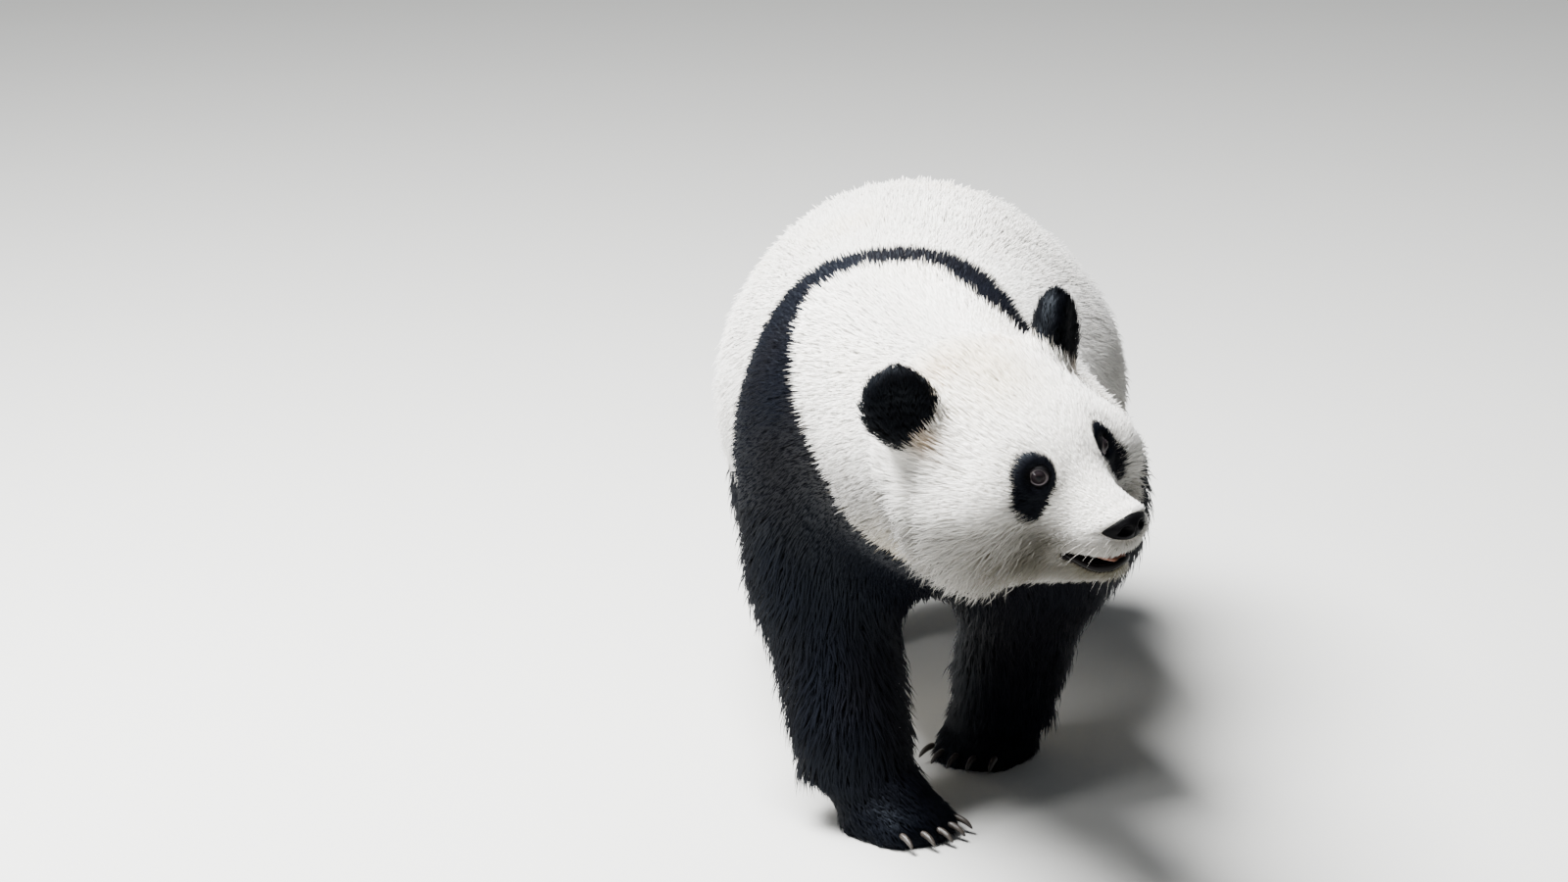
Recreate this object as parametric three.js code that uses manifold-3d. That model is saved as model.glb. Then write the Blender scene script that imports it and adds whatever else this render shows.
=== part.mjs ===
// A life-size giant panda, walking with its head turned to its left, as a still museum figure.
// Units are millimetres, +Z up. The animal faces -Y, so its left side is at +X. All sizes include
// the coat. The body is one smooth field of blended rounds. It is meshed region by region, finely
// on the head and paws, and parted with thin cuts into the pieces that a person would name.
import * as THREE from "three";
import { mergeVertices } from "three/addons/utils/BufferGeometryUtils.js";
import Module from "manifold-3d";

const wasm = await Module();
wasm.setup();

// ---------------------------------------------------------------- driving dimensions

const GAP = 0.4; // clearance between neighbouring pieces
const WITHERS = 712; // height at the shoulders
// Mesh size of each region.
const PITCH = { trunk: 62, neck: 52, leg: 45, head: 21, paw: 23, ear: 16, tail: 28, nose: 8 };

// Rounds of the trunk: centre and half-sizes.
const TRUNK = [
  { at: [35, 30, 470], half: [195, 205, 190] }, // chest
  { at: [5, 60, WITHERS - 152], half: [145, 190, 140] }, // hump of the withers
  { at: [18, 360, 442], half: [274, 330, 254] }, // barrel
  { at: [-10, 640, 415], half: [232, 275, 243] }, // rump
];
const TRUNK_BLEND = 130;

// The neck tapers from the withers to the back of the skull.
const NECK = {
  base: [20, 20, 505],
  baseRadius: 184,
  skullEnd: [0, 168, -22], // in the head's frame
  skullRadius: 134,
  throat: { at: [95, -190, 470], half: [150, 130, 125] },
};
const NECK_BLEND = 60;

// The head's frame: origin midway between the eyes, nose towards -Y, the animal's left at +X.
const HEAD = {
  at: [221, -400, 564],
  yaw: 45, // turned to the animal's left
  nod: 4, // nose lowered
  tilt: 11, // left side raised
  reach: 330, // from there to beyond the back of the skull
};
// Each pair stands on both sides of the head's middle plane.
const SKULL = {
  middle: [
    { at: [0, 114, 10], half: [112, 124, 80] }, // braincase
    { at: [0, 46, 12], half: [78, 64, 44] }, // forehead
    { at: [0, 42, -104], half: [98, 88, 52] }, // throat side of the jowls
  ],
  pairs: [
    { at: [80, 88, -68], half: [86, 96, 98] }, // cheek muscle and ruff
    { at: [80, 48, -42], half: [64, 62, 60] }, // front of the cheek
  ],
};
const SKULL_BLEND = 36;
const BRIDGE = { brow: [0, 0, -22], tip: [0, -84, -50], radii: [50, 27] };
const MUZZLE = {
  middle: [
    { at: [0, -46, -66], half: [50, 62, 34] }, // upper jaw
    { at: [0, -44, -112], half: [40, 58, 26] }, // lower jaw and chin
  ],
  pairs: [{ at: [18, -82, -70], half: [23, 27, 21] }], // whisker pads
};
const MUZZLE_BLEND = 20;
const EYE = { at: [51, -11, 2], radius: 13 };
// An ear is a round shell, hollowed in front by a cup, on a root.
const EAR = {
  at: [130, 138, 82],
  turn: 34,
  lean: 14,
  half: [49, 24, 54],
  reach: 92,
  root: { inwards: 12, back: 6, below: 34, half: [32, 20, 34] },
};
const NOSE = { at: [0, -104, -49], half: [27, 15, 18], nostril: [6, 7, 5], reach: 45 };
const TONGUE = { at: [0, -86, -96.3], half: [16, 23, 3], rise: 4 };
// The mouth in side view: its corner, and the lips' front edges.
const MOUTH = { corner: [-42, -99], upperLip: [-135, -83], lowerLip: [-135, -102], chinBack: [8, -200] };

// Each leg: the centres of its joints from the top down with their radii, the muscle over the
// first, and the paw. Its side is 1 on the animal's left and -1 on its right.
const LEGS = [
  {
    name: "foreleg_right",
    paw: "forepaw_right",
    side: -1,
    joints: [[-108, 20, 470], [-88, -15, 300], [-46, -92, 112]],
    radii: [86, 90, 80],
    muscle: { at: [-112, 20, 415], half: [82, 120, 165] },
    foot: { at: [3, -128, 0], yaw: 50, length: 172, width: 136 },
  },
  {
    name: "foreleg_left",
    paw: "forepaw_left",
    side: 1,
    joints: [[195, 20, 450], [178, 52, 305], [140, 152, 112]],
    radii: [92, 88, 76],
    muscle: { at: [222, 12, 405], half: [106, 118, 140] },
    foot: { at: [120, 182, 0], yaw: -30, length: 172, width: 132 },
  },
  {
    name: "hindleg_right",
    paw: "hindpaw_right",
    side: -1,
    joints: [[-122, 625, 395], [-152, 560, 255], [-144, 640, 108]],
    radii: [122, 96, 68],
    muscle: { at: [-132, 650, 345], half: [104, 160, 180] },
    foot: { at: [-144, 595, 0], yaw: 12, length: 185, width: 122 },
  },
  {
    name: "hindleg_left",
    paw: "hindpaw_left",
    side: 1,
    joints: [[150, 695, 400], [182, 715, 255], [165, 835, 108]],
    radii: [125, 96, 66],
    muscle: { at: [158, 705, 345], half: [108, 160, 180] },
    foot: { at: [162, 797, 0], yaw: -12, length: 185, width: 122 },
  },
];
const LEG_BLEND = 45;
// A leg is parted from the body by a block round its bones and by a plane that rises outwards
// from the armpit or groin, which lies inwards of its middle joint.
const LEG_BLOCK = { clearance: 14, thigh: 30, outwards: 30, above: 250, length: 1100 };
const ARMPIT = { inwards: 100, rise: 30 };
const PAW_TOP = 78; // height at which a paw is parted from its leg
const PAW = { height: 62, middle: 22, heel: 16, side: 6, instep: 48, blend: 16, legBlend: 34 };
const TOE = { count: 5, spread: 0.36, arc: 0.1, height: 17, width: 0.115, length: 27, depth: 21 };
const CLAW = { length: 30, radius: 5.5, droop: 13, sides: 5, steps: 3 };
const TAIL = { base: [-14, 884, 480], tip: [-12, 914, 366], radii: [42, 30] };

const COLOURS = { white: 0xe6e0d2, black: 0x1b1b1f, horn: 0x3a3530, wet: 0x0c0b0c, tongue: 0xb5665a };

// ---------------------------------------------------------------- fields
// A field gives the distance in mm from a point to a surface, negative inside it.

function ellipsoid({ at: [cx, cy, cz], half: [rx, ry, rz] }) {
  return (x, y, z) => {
    const [u, v, w] = [(x - cx) / rx, (y - cy) / ry, (z - cz) / rz];
    const near = Math.hypot(u, v, w);
    const slope = Math.hypot(u / rx, v / ry, w / rz);
    return slope < 1e-9 ? -Math.min(rx, ry, rz) : (near * (near - 1)) / slope;
  };
}

// The hull of two balls.
function limb(a, b, radiusA, radiusB) {
  const start = new THREE.Vector3(...a);
  const along = new THREE.Vector3(...b).sub(start);
  const length = along.length();
  along.divideScalar(length);
  const sine = (radiusA - radiusB) / length;
  const cosine = Math.sqrt(1 - sine * sine);
  return (x, y, z) => {
    const [px, py, pz] = [x - a[0], y - a[1], z - a[2]];
    const lengthwise = px * along.x + py * along.y + pz * along.z;
    const across = Math.sqrt(Math.max(px * px + py * py + pz * pz - lengthwise * lengthwise, 0));
    const foot = lengthwise + (across * sine) / cosine; // where the wall's normal leaves the axis
    const on = Math.min(Math.max(foot, 0), length);
    return Math.hypot(lengthwise - on, across) - (radiusA - sine * on);
  };
}

// The lower of two distances, with a fillet about as wide as k.
function soft(a, b, k) {
  const closeness = Math.max(k - Math.abs(a - b), 0) / k;
  return Math.min(a, b) - (closeness * closeness * k) / 4;
}

const blend = (k, ...fields) => (x, y, z) => fields.reduce((d, f) => soft(d, f(x, y, z), k), Infinity);
const scoop = (k, field, hollow) => (x, y, z) => -soft(-field(x, y, z), hollow(x, y, z), k);
const mirrored = (field) => (x, y, z) => field(Math.abs(x), y, z);

// A field written in its own frame, placed by a matrix.
function placed(field, matrix) {
  const e = matrix.clone().invert().elements;
  const row = (i, x, y, z) => e[i] * x + e[i + 4] * y + e[i + 8] * z + e[i + 12];
  return (x, y, z) => field(row(0, x, y, z), row(1, x, y, z), row(2, x, y, z));
}

const turn = (axis, degrees) =>
  new THREE.Matrix4().makeRotationAxis(new THREE.Vector3(...axis), THREE.MathUtils.degToRad(degrees));
const frameAt = (at, ...turns) =>
  turns.reduce((frame, next) => frame.multiply(next), new THREE.Matrix4().makeTranslation(...at));
const [X, Y, Z] = [[1, 0, 0], [0, 1, 0], [0, 0, 1]];
const carry = (matrix, point) => new THREE.Vector3(...point).applyMatrix4(matrix).toArray();

// ---------------------------------------------------------------- surfaces of fields

const AXES = [0, 1, 2];
const CORNERS = Array.from({ length: 8 }, (_, c) => [c & 1, (c >> 1) & 1, c >> 2]);
const EDGES = CORNERS.flatMap((_, a) => [1, 2, 4].filter((bit) => !(a & bit)).map((bit) => [a, a | bit]));
const SETTLING_ROUNDS = 4;

// The field's values on a cubic lattice, positive all round its outside so that it closes.
function sample(field, low, high, cell) {
  const size = AXES.map((axis) => Math.ceil((high[axis] - low[axis]) / cell) + 1);
  const step = [1, size[0], size[0] * size[1]];
  const value = new Float64Array(step[2] * size[2]);
  const outermost = (i) => AXES.some((axis) => i[axis] === 0 || i[axis] === size[axis] - 1);
  for (let n = 0; n < value.length; n++) {
    const i = [n % size[0], Math.floor(n / step[1]) % size[1], Math.floor(n / step[2])];
    const place = AXES.map((axis) => low[axis] + i[axis] * cell);
    value[n] = outermost(i) ? Math.max(cell, field(...place)) : field(...place) || -1e-6;
  }
  return { low, cell, size, step, value };
}

function slopeAt(field, point) {
  const reach = 0.05;
  return AXES.map((axis) => {
    const [after, before] = [reach, -reach].map((shift) => field(...point.with(axis, point[axis] + shift)));
    return (after - before) / (2 * reach);
  });
}

// A point moved onto the surface along the field's slope, if the surface is within reach.
function settle(field, start, reach) {
  let point = start;
  for (let round = 0; round < SETTLING_ROUNDS; round++) {
    const slope = slopeAt(field, point);
    const steepness = Math.max(Math.hypot(...slope) ** 2, 0.2);
    const distance = field(...point);
    point = point.map((v, axis) => v - (distance * slope[axis]) / steepness);
  }
  const moved = Math.hypot(...AXES.map((axis) => point[axis] - start[axis]));
  return moved < reach ? point : start;
}

// The middle of the places where the surface crosses a cell's edges, or nothing.
function crossing(values) {
  const cut = EDGES.filter(([a, b]) => values[a] < 0 !== values[b] < 0);
  const place = ([a, b], axis) => {
    const share = values[a] / (values[a] - values[b]);
    return CORNERS[a][axis] + share * (CORNERS[b][axis] - CORNERS[a][axis]);
  };
  return cut.length && AXES.map((axis) => cut.reduce((sum, edge) => sum + place(edge, axis), 0) / cut.length);
}

// The closed surface of a field inside a box: a vertex in each cell that the surface crosses, and
// a square of four of them round each lattice edge that it crosses.
function surfaceOf(field, [low, high], cell) {
  const { size, step, value } = sample(field, low, high, cell);
  const vertexOf = new Map();
  const points = [];
  const faces = [];
  const apart = (a, b) => Math.hypot(...AXES.map((i) => points[3 * a + i] - points[3 * b + i]));
  const addSquares = (n, i) => {
    for (const axis of AXES) {
      const [u, v] = [(axis + 1) % 3, (axis + 2) % 3];
      const inside = value[n] < 0;
      if (i[u] < 1 || i[v] < 1 || inside === value[n + step[axis]] < 0) continue;
      const ring = [n - step[u] - step[v], n - step[v], n, n - step[u]].map((at) => vertexOf.get(at));
      const [a, b, c, d] = inside ? ring : ring.reverse();
      faces.push(...(apart(a, c) < apart(b, d) ? [a, b, c, a, c, d] : [a, b, d, b, c, d]));
    }
  };
  for (let k = 0; k < size[2] - 1; k++)
    for (let j = 0; j < size[1] - 1; j++)
      for (let i = 0; i < size[0] - 1; i++) {
        const n = i + j * step[1] + k * step[2];
        const corner = ([a, b, c]) => value[n + a + b * step[1] + c * step[2]];
        const middle = crossing(CORNERS.map(corner));
        if (!middle) continue;
        const start = AXES.map((axis) => low[axis] + ([i, j, k][axis] + middle[axis]) * cell);
        vertexOf.set(n, points.length / 3);
        points.push(...settle(field, start, cell));
        addSquares(n, [i, j, k]);
      }
  return solidOf(points, faces);
}

// ---------------------------------------------------------------- solids

function solidOf(points, faces) {
  const mesh = { numProp: 3, vertProperties: new Float32Array(points), triVerts: new Uint32Array(faces) };
  return new wasm.Manifold(new wasm.Mesh(mesh));
}

function solidOfGeometry(geometry, matrix = new THREE.Matrix4()) {
  const bare = geometry.clone().applyMatrix4(matrix);
  bare.deleteAttribute("normal");
  bare.deleteAttribute("uv");
  const merged = mergeVertices(bare, 1e-3);
  return solidOf(merged.attributes.position.array, merged.index.array);
}

function geometryOf(solid) {
  const { vertProperties, triVerts } = solid.getMesh();
  return new THREE.BufferGeometry()
    .setAttribute("position", new THREE.BufferAttribute(vertProperties.slice(), 3))
    .setIndex(new THREE.BufferAttribute(triVerts.slice(), 1));
}

const larger = (a, b) => (b.volume() > a.volume() ? b : a);
const largest = (solid) => solid.decompose().reduce(larger);
const ball = (at, half, [around, down] = [12, 8]) =>
  solidOfGeometry(new THREE.SphereGeometry(1, around, down).scale(...half), frameAt(at));

// The largest body on the side of a plane that its normal points to, a margin clear of it.
function beyond(solid, { point, normal }, margin = GAP / 2) {
  const direction = new THREE.Vector3(...normal).normalize();
  const offset = direction.dot(new THREE.Vector3(...point)) + margin;
  return largest(solid.trimByPlane(direction.toArray(), offset));
}
const before = (solid, { point, normal }, margin) =>
  beyond(solid, { point, normal: normal.map((v) => -v) }, margin);

// A copy of a solid with its surface moved out along its vertices' normals.
function grown(solid, by = GAP) {
  const geometry = geometryOf(solid);
  geometry.computeVertexNormals();
  const { position, normal } = geometry.attributes;
  return solidOf(position.array.map((v, i) => v + by * normal.array[i]), geometry.index.array);
}

// ---------------------------------------------------------------- the animal's fields

const headFrame = frameAt(HEAD.at, turn(Z, HEAD.yaw), turn(X, HEAD.nod), turn(Y, -HEAD.tilt));
const inHead = (field) => placed(field, headFrame);

const roundsOf = ({ middle, pairs }) => [
  ...middle.map(ellipsoid),
  ...pairs.map((pair) => mirrored(ellipsoid(pair))),
];

function headField() {
  const bridge = limb(BRIDGE.brow, BRIDGE.tip, ...BRIDGE.radii);
  const muzzle = blend(MUZZLE_BLEND, bridge, ...roundsOf(MUZZLE));
  return blend(SKULL_BLEND, ...roundsOf(SKULL), muzzle);
}

function earField(side) {
  const { at, root, half } = EAR;
  const [rx, ry, rz] = half;
  const shell = ellipsoid({ at: [0, 0, 0], half });
  const base = ellipsoid({ at: [-side * root.inwards, root.back, -root.below], half: root.half });
  const cup = ellipsoid({ at: [0, -ry * 1.5, 4], half: [rx * 0.78, ry * 1.1, rz * 0.78] });
  const frame = frameAt([side * at[0], at[1], at[2]], turn(Z, side * EAR.turn), turn(Y, side * EAR.lean));
  return inHead(placed(scoop(8, blend(20, shell, base), cup), frame));
}

function noseField() {
  const [x, y, z] = NOSE.at;
  const [rx, ry, rz] = NOSE.half;
  const philtrum = ellipsoid({ at: [x, y + 2, z - rz * 0.7], half: [rx * 0.5, ry * 0.8, rz * 0.6] });
  const nostril = mirrored(ellipsoid({ at: [rx * 0.5, y - ry, z - 2], half: NOSE.nostril }));
  return inHead(scoop(3, blend(6, ellipsoid(NOSE), philtrum), nostril));
}

function neckField() {
  const root = limb(NECK.base, carry(headFrame, NECK.skullEnd), NECK.baseRadius, NECK.skullRadius);
  return blend(NECK_BLEND, root, ellipsoid(NECK.throat));
}

function legField({ joints: [top, middle, end], radii, muscle }) {
  const upper = limb(top, middle, radii[0], radii[1]);
  const lower = limb(middle, end, radii[1], radii[2]);
  return blend(LEG_BLEND, upper, lower, ellipsoid(muscle));
}

// A paw's frame has its toes towards -Y and its sole at z = 0. The toes lie in an arc.
const pawFrame = ({ at, yaw }) => frameAt(at, turn(Z, yaw));
const toePlaces = ({ length, width }) =>
  Array.from({ length: TOE.count }, (_, i) => {
    const across = (2 * i) / (TOE.count - 1) - 1;
    return [across * width * TOE.spread, -length * (TOE.spread - TOE.arc * across * across), TOE.height];
  });

function pawField({ foot, joints, radii }) {
  const { length, width } = foot;
  const padHalf = [width / 2 - PAW.side, length / 2 - PAW.heel, PAW.height - PAW.middle];
  const pad = ellipsoid({ at: [0, 0, PAW.middle], half: padHalf });
  const toeHalf = [width * TOE.width, TOE.length, TOE.depth];
  const toes = toePlaces(foot).map((at) => ellipsoid({ at, half: toeHalf }));
  const instepEnd = carry(pawFrame(foot), [0, PAW.side, PAW.instep - PAW.side]);
  const instep = limb(joints[2], instepEnd, radii[2], PAW.instep);
  return blend(PAW.legBlend, placed(blend(PAW.blend, pad, ...toes), pawFrame(foot)), instep);
}

const trunk = blend(TRUNK_BLEND, ...TRUNK.map(ellipsoid));
const neck = neckField();
const head = inHead(headField());
const body = blend(NECK_BLEND, blend(LEG_BLEND, trunk, ...LEGS.map(legField)), neck);
const bodyAndPaws = blend(24, body, ...LEGS.map(pawField));
const headAndNeck = blend(40, head, neck);

// ---------------------------------------------------------------- cuts between the pieces

const FLOOR = { point: [0, 0, 0], normal: Z };
const ANKLES = { point: [0, 0, PAW_TOP], normal: Z };
const NAPE = { point: carry(headFrame, [0, 176, 0]), normal: [-0.5, 0.86, 0] };
const GIRTH = { point: [0, 95, WITHERS], normal: [0, 0.98, 0.2] }; // back of the black band
// The white neck in side view, in front of the black band and above the black chest.
const NECK_OUTLINE = [[20, 790], [-160, 415], [-215, 362], [-420, 262], [-520, 790]];

const around = (centre, reach) => [centre.map((v) => v - reach), centre.map((v) => v + reach)];

// A prism across a frame from its outline in side view, wider than anything it parts.
function prism(outline, frame = new THREE.Matrix4()) {
  const width = 900;
  const shape = new THREE.Shape(outline.map(([y, z]) => new THREE.Vector2(y, z)));
  const slab = new THREE.ExtrudeGeometry(shape, { depth: width, bevelEnabled: false });
  slab.translate(0, 0, -width / 2);
  const sideOn = new THREE.Matrix4().makeBasis(...[Y, Z, X].map((axis) => new THREE.Vector3(...axis)));
  return solidOfGeometry(slab, frame.clone().multiply(sideOn));
}

// The block, in line with a leg, that parts it from the body, below the plane of its armpit.
function legBlock({ joints, radii, side, muscle }, margin) {
  const [top, , end] = joints.map((joint) => new THREE.Vector3(...joint));
  const down = end.clone().sub(top).normalize();
  const left = new THREE.Vector3(0, 1, 0).cross(down).negate().normalize();
  const back = down.clone().cross(left).normalize();
  const { clearance, thigh, outwards, above, length } = LEG_BLOCK;
  const girth = Math.max(...radii) + clearance + margin;
  const block = new THREE.BoxGeometry(2 * girth + outwards, 2 * (muscle.half[1] + thigh + margin), length);
  block.translate((side * outwards) / 2, 0, length / 2 - above);
  const frame = new THREE.Matrix4().makeBasis(left, back, down).setPosition(top);
  if (frame.determinant() < 0) throw new Error("the leg's frame is left-handed");
  const [x, y, z] = joints[1];
  const slant = THREE.MathUtils.degToRad(ARMPIT.rise);
  const normal = [-side * Math.sin(slant), 0, Math.cos(slant)];
  return before(solidOfGeometry(block, frame), { point: [x - side * ARMPIT.inwards, y, z], normal }, -margin);
}

// ---------------------------------------------------------------- the pieces

const pieces = [];
const add = (name, solid, colour, roughness = 0.9) => pieces.push({ name, solid, colour, roughness });
const solidNamed = (name) => pieces.find((piece) => piece.name === name).solid;
const SIDES = [-1, 1]; // the animal's right and left
const sideName = (name, side) => `${name}_${side < 0 ? "right" : "left"}`;
const onSide = (side, [x, y, z]) => carry(headFrame, [side * x, y, z]);

function addHead() {
  const whole = before(surfaceOf(headAndNeck, around(HEAD.at, HEAD.reach), PITCH.head), NAPE);
  const nose = surfaceOf(noseField(), around(carry(headFrame, NOSE.at), NOSE.reach), PITCH.nose);
  const eyeballs = SIDES.map((side) => ball(onSide(side, EYE.at), Array(3).fill(EYE.radius)));
  const flesh = [nose, ...eyeballs].reduce((solid, organ) => solid.subtract(grown(organ)), whole);
  const tongueFrame = headFrame.clone().multiply(frameAt(TONGUE.at, turn(X, -TONGUE.rise)));
  addJaws(flesh);
  add("tongue", ball([0, 0, 0], TONGUE.half).transform(tongueFrame.elements), "tongue", 0.5);
  add("nose", nose, "wet", 0.45);
  eyeballs.forEach((eyeball, i) => add(sideName("eye", SIDES[i]), eyeball, "wet", 0.1));
  SIDES.forEach(addEar);
}

// The lower jaw is cut out under the mouth, which stands open between the lips.
function addJaws(flesh) {
  const { corner, upperLip, lowerLip, chinBack } = MOUTH;
  const below = [upperLip[0], chinBack[1]];
  const jawPrism = prism([corner, chinBack, below, lowerLip], headFrame);
  const cornerOfSkull = corner.map((v) => v + GAP);
  const skullCut = prism([cornerOfSkull, [chinBack[0] + GAP, chinBack[1]], below, upperLip], headFrame);
  add("head", largest(flesh.subtract(skullCut)), "white");
  add("jaw", largest(flesh.intersect(jawPrism)), "white");
}

function addEar(side) {
  const whole = surfaceOf(earField(side), around(onSide(side, EAR.at), EAR.reach), PITCH.ear);
  const bed = [solidNamed("head"), solidNamed("neck")];
  const ear = bed.reduce((solid, under) => solid.subtract(grown(under)), whole);
  add(sideName("ear", side), largest(ear), "black");
}

// A claw leaves its toe forwards and curves down to a point.
function clawSolid(foot, [x, y, z]) {
  const { length, radius, droop, sides, steps } = CLAW;
  const fan = THREE.MathUtils.degToRad((x / foot.width) * 40);
  const start = y - 20;
  const along = (share, height) =>
    new THREE.Vector3(x + Math.sin(fan) * length * share, start - length * share, z + height);
  const path = new THREE.QuadraticBezierCurve3(along(0, 3), along(0.65, 4), along(1, -droop));
  const width = (share) => radius * (1 - 0.75 * share * share);
  return taperedTube(path, width, steps, sides).transform(pawFrame(foot).elements);
}

// A tube round a path, as wide as width(share of its length), with a pointed end.
function taperedTube(path, width, steps, sides) {
  const { normals, binormals } = path.computeFrenetFrames(steps, false);
  const points = [];
  const faces = [];
  const tip = steps * sides;
  for (let i = 0; i < steps; i++)
    for (let j = 0; j < sides; j++) {
      const angle = (2 * Math.PI * j) / sides;
      const out = normals[i].clone().multiplyScalar(Math.cos(angle));
      out.addScaledVector(binormals[i], Math.sin(angle));
      points.push(...path.getPoint(i / steps).addScaledVector(out, width(i / steps)).toArray());
      const [here, beside] = [i * sides + j, i * sides + ((j + 1) % sides)];
      if (i < steps - 1) faces.push(here, beside, beside + sides, here, beside + sides, here + sides);
      else faces.push(here, beside, tip);
    }
  for (let j = 0; j < sides; j++) faces.push((j + 1) % sides, j, tip + 1);
  points.push(...path.getPoint(1).toArray(), ...path.getPoint(0).toArray());
  return solidOf(points, faces);
}

function addLegs() {
  const whole = beyond(surfaceOf(bodyAndPaws, [[-360, -330, -80], [440, 1090, 560]], PITCH.leg), FLOOR, 0);
  for (const leg of LEGS) {
    const shank = beyond(whole.intersect(legBlock(leg, 0)), ANKLES);
    const centre = leg.foot.at.with(2, PAW_TOP);
    const local = beyond(surfaceOf(bodyAndPaws, around(centre, 150), PITCH.paw), FLOOR, 0);
    const claws = toePlaces(leg.foot).map((toe) => clawSolid(leg.foot, toe));
    const paw = claws.reduce((solid, claw) => solid.subtract(grown(claw)), before(local, ANKLES));
    add(leg.name, shank, "black");
    add(leg.paw, largest(paw), "black");
    claws.forEach((claw, i) => add(`claw_${leg.paw}_${i + 1}`, claw, "horn", 0.5));
  }
}

function addTrunk() {
  const legless = (solid) => LEGS.reduce((rest, leg) => rest.subtract(legBlock(leg, GAP)), solid);
  const [low, high] = [[-360, -420, 60], [440, 1090, 800]];
  const coarse = largest(legless(surfaceOf(body, [low, high], PITCH.trunk)));
  const fine = largest(legless(surfaceOf(body, [low, [440, 300, 800]], PITCH.neck)));
  const front = beyond(fine, NAPE);
  const neckPiece = largest(front.intersect(prism(NECK_OUTLINE)));
  const shoulders = largest(before(front, GIRTH).subtract(grown(prism(NECK_OUTLINE), 2 * GAP)));
  const barrel = beyond(coarse, GIRTH);
  const tail = surfaceOf(limb(TAIL.base, TAIL.tip, ...TAIL.radii), around(TAIL.base, 190), PITCH.tail);
  add("neck", neckPiece, "white");
  add("shoulders", shoulders, "black");
  add("trunk", barrel, "white");
  add("tail", largest(tail.subtract(grown(barrel))), "white");
}

addTrunk();
addHead();
addLegs();

// ---------------------------------------------------------------- the figure

// The part's origin is on the floor, under the middle of the figure's box.
const figure = new THREE.Group();
for (const { name, solid, colour, roughness } of pieces) {
  const material = new THREE.MeshStandardMaterial({ color: COLOURS[colour], roughness, metalness: 0 });
  const mesh = new THREE.Mesh(geometryOf(solid), material);
  mesh.name = name;
  figure.add(mesh);
}
const box = new THREE.Box3().setFromObject(figure);
const middle = box.getCenter(new THREE.Vector3());
figure.position.set(-middle.x, -middle.y, -box.min.z);

const panda = new THREE.Group();
panda.add(figure);

export default panda;
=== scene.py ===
"""A life-size giant panda, walking with its head turned to its left, as a still museum figure.

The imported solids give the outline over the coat. One skin is drawn from them, set in by the
coat's depth, and the coat grows on it as thin closed tufts. The eyes, lids, nose, lips, tongue,
claws and whiskers are pieces of their own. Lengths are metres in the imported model's frame, +Z up:
the animal faces -Y and its left side is at +X.
"""
import itertools
import math

import bmesh
import bpy
import numpy as np
from mathutils import Matrix, Vector
from mathutils.bvhtree import BVHTree


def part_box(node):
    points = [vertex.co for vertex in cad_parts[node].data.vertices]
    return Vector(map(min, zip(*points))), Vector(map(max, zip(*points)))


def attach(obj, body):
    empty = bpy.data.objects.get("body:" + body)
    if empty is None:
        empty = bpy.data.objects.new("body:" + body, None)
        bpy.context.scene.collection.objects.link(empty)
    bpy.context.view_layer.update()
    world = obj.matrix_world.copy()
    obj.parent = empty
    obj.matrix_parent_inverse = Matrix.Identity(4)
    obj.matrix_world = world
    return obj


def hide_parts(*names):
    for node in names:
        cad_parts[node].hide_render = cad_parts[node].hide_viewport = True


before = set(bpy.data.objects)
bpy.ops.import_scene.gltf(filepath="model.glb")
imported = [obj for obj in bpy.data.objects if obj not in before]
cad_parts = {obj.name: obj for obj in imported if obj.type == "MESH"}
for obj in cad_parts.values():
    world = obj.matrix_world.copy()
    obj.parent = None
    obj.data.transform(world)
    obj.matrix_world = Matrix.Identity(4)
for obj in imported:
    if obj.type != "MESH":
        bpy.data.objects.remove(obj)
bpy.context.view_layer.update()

RNG = np.random.default_rng(20)
MM = 0.001

# ---------------------------------------------------------------- sizes

HEAD_AT = np.array([221, -400, 564]) * MM  # the head's place from the middle of the forefeet
HEAD_TURN = {"yaw": 45, "nod": 4, "tilt": 11}  # degrees: to its left, nose down, left side up
EYES_AT = np.array([0, -11, 2]) * MM  # midway between the eyes, in the head's own frame
EYE_RADIUS = 13 * MM
EYE_DEEPER = 4 * MM  # how far the eyes lie behind their packed places, deep in their lids
EYE_HIGHER = 3 * MM  # and how far above them

LID_OPENING = np.array([11.4, 9.6]) * MM  # half the width and height of the gap between the lids
LID_SLANT = 14  # degrees by which its outer corner lies lower
EYE_SWELL = 3.5 * MM  # how far the skin round the eyes stands out
MOUTH_DEPTH = 24 * MM
NOSE_BED = 11 * MM  # how far the skin is sunk under the nose pad
CHEEK_FOLD = 5 * MM  # depth of the fold behind each cheek

VOXEL = 7 * MM  # mesh size of the skin before its face is refined

SIDES = ("right", "left")
LEGS = [limb + side for side in SIDES for limb in ("foreleg_", "hindleg_")]
PAWS = [limb + side for side in SIDES for limb in ("forepaw_", "hindpaw_")]
EARS = ["ear_" + side for side in SIDES]
FLESH = ["neck", "shoulders", "trunk", "tail", "head", "jaw"] + EARS + LEGS + PAWS

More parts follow.
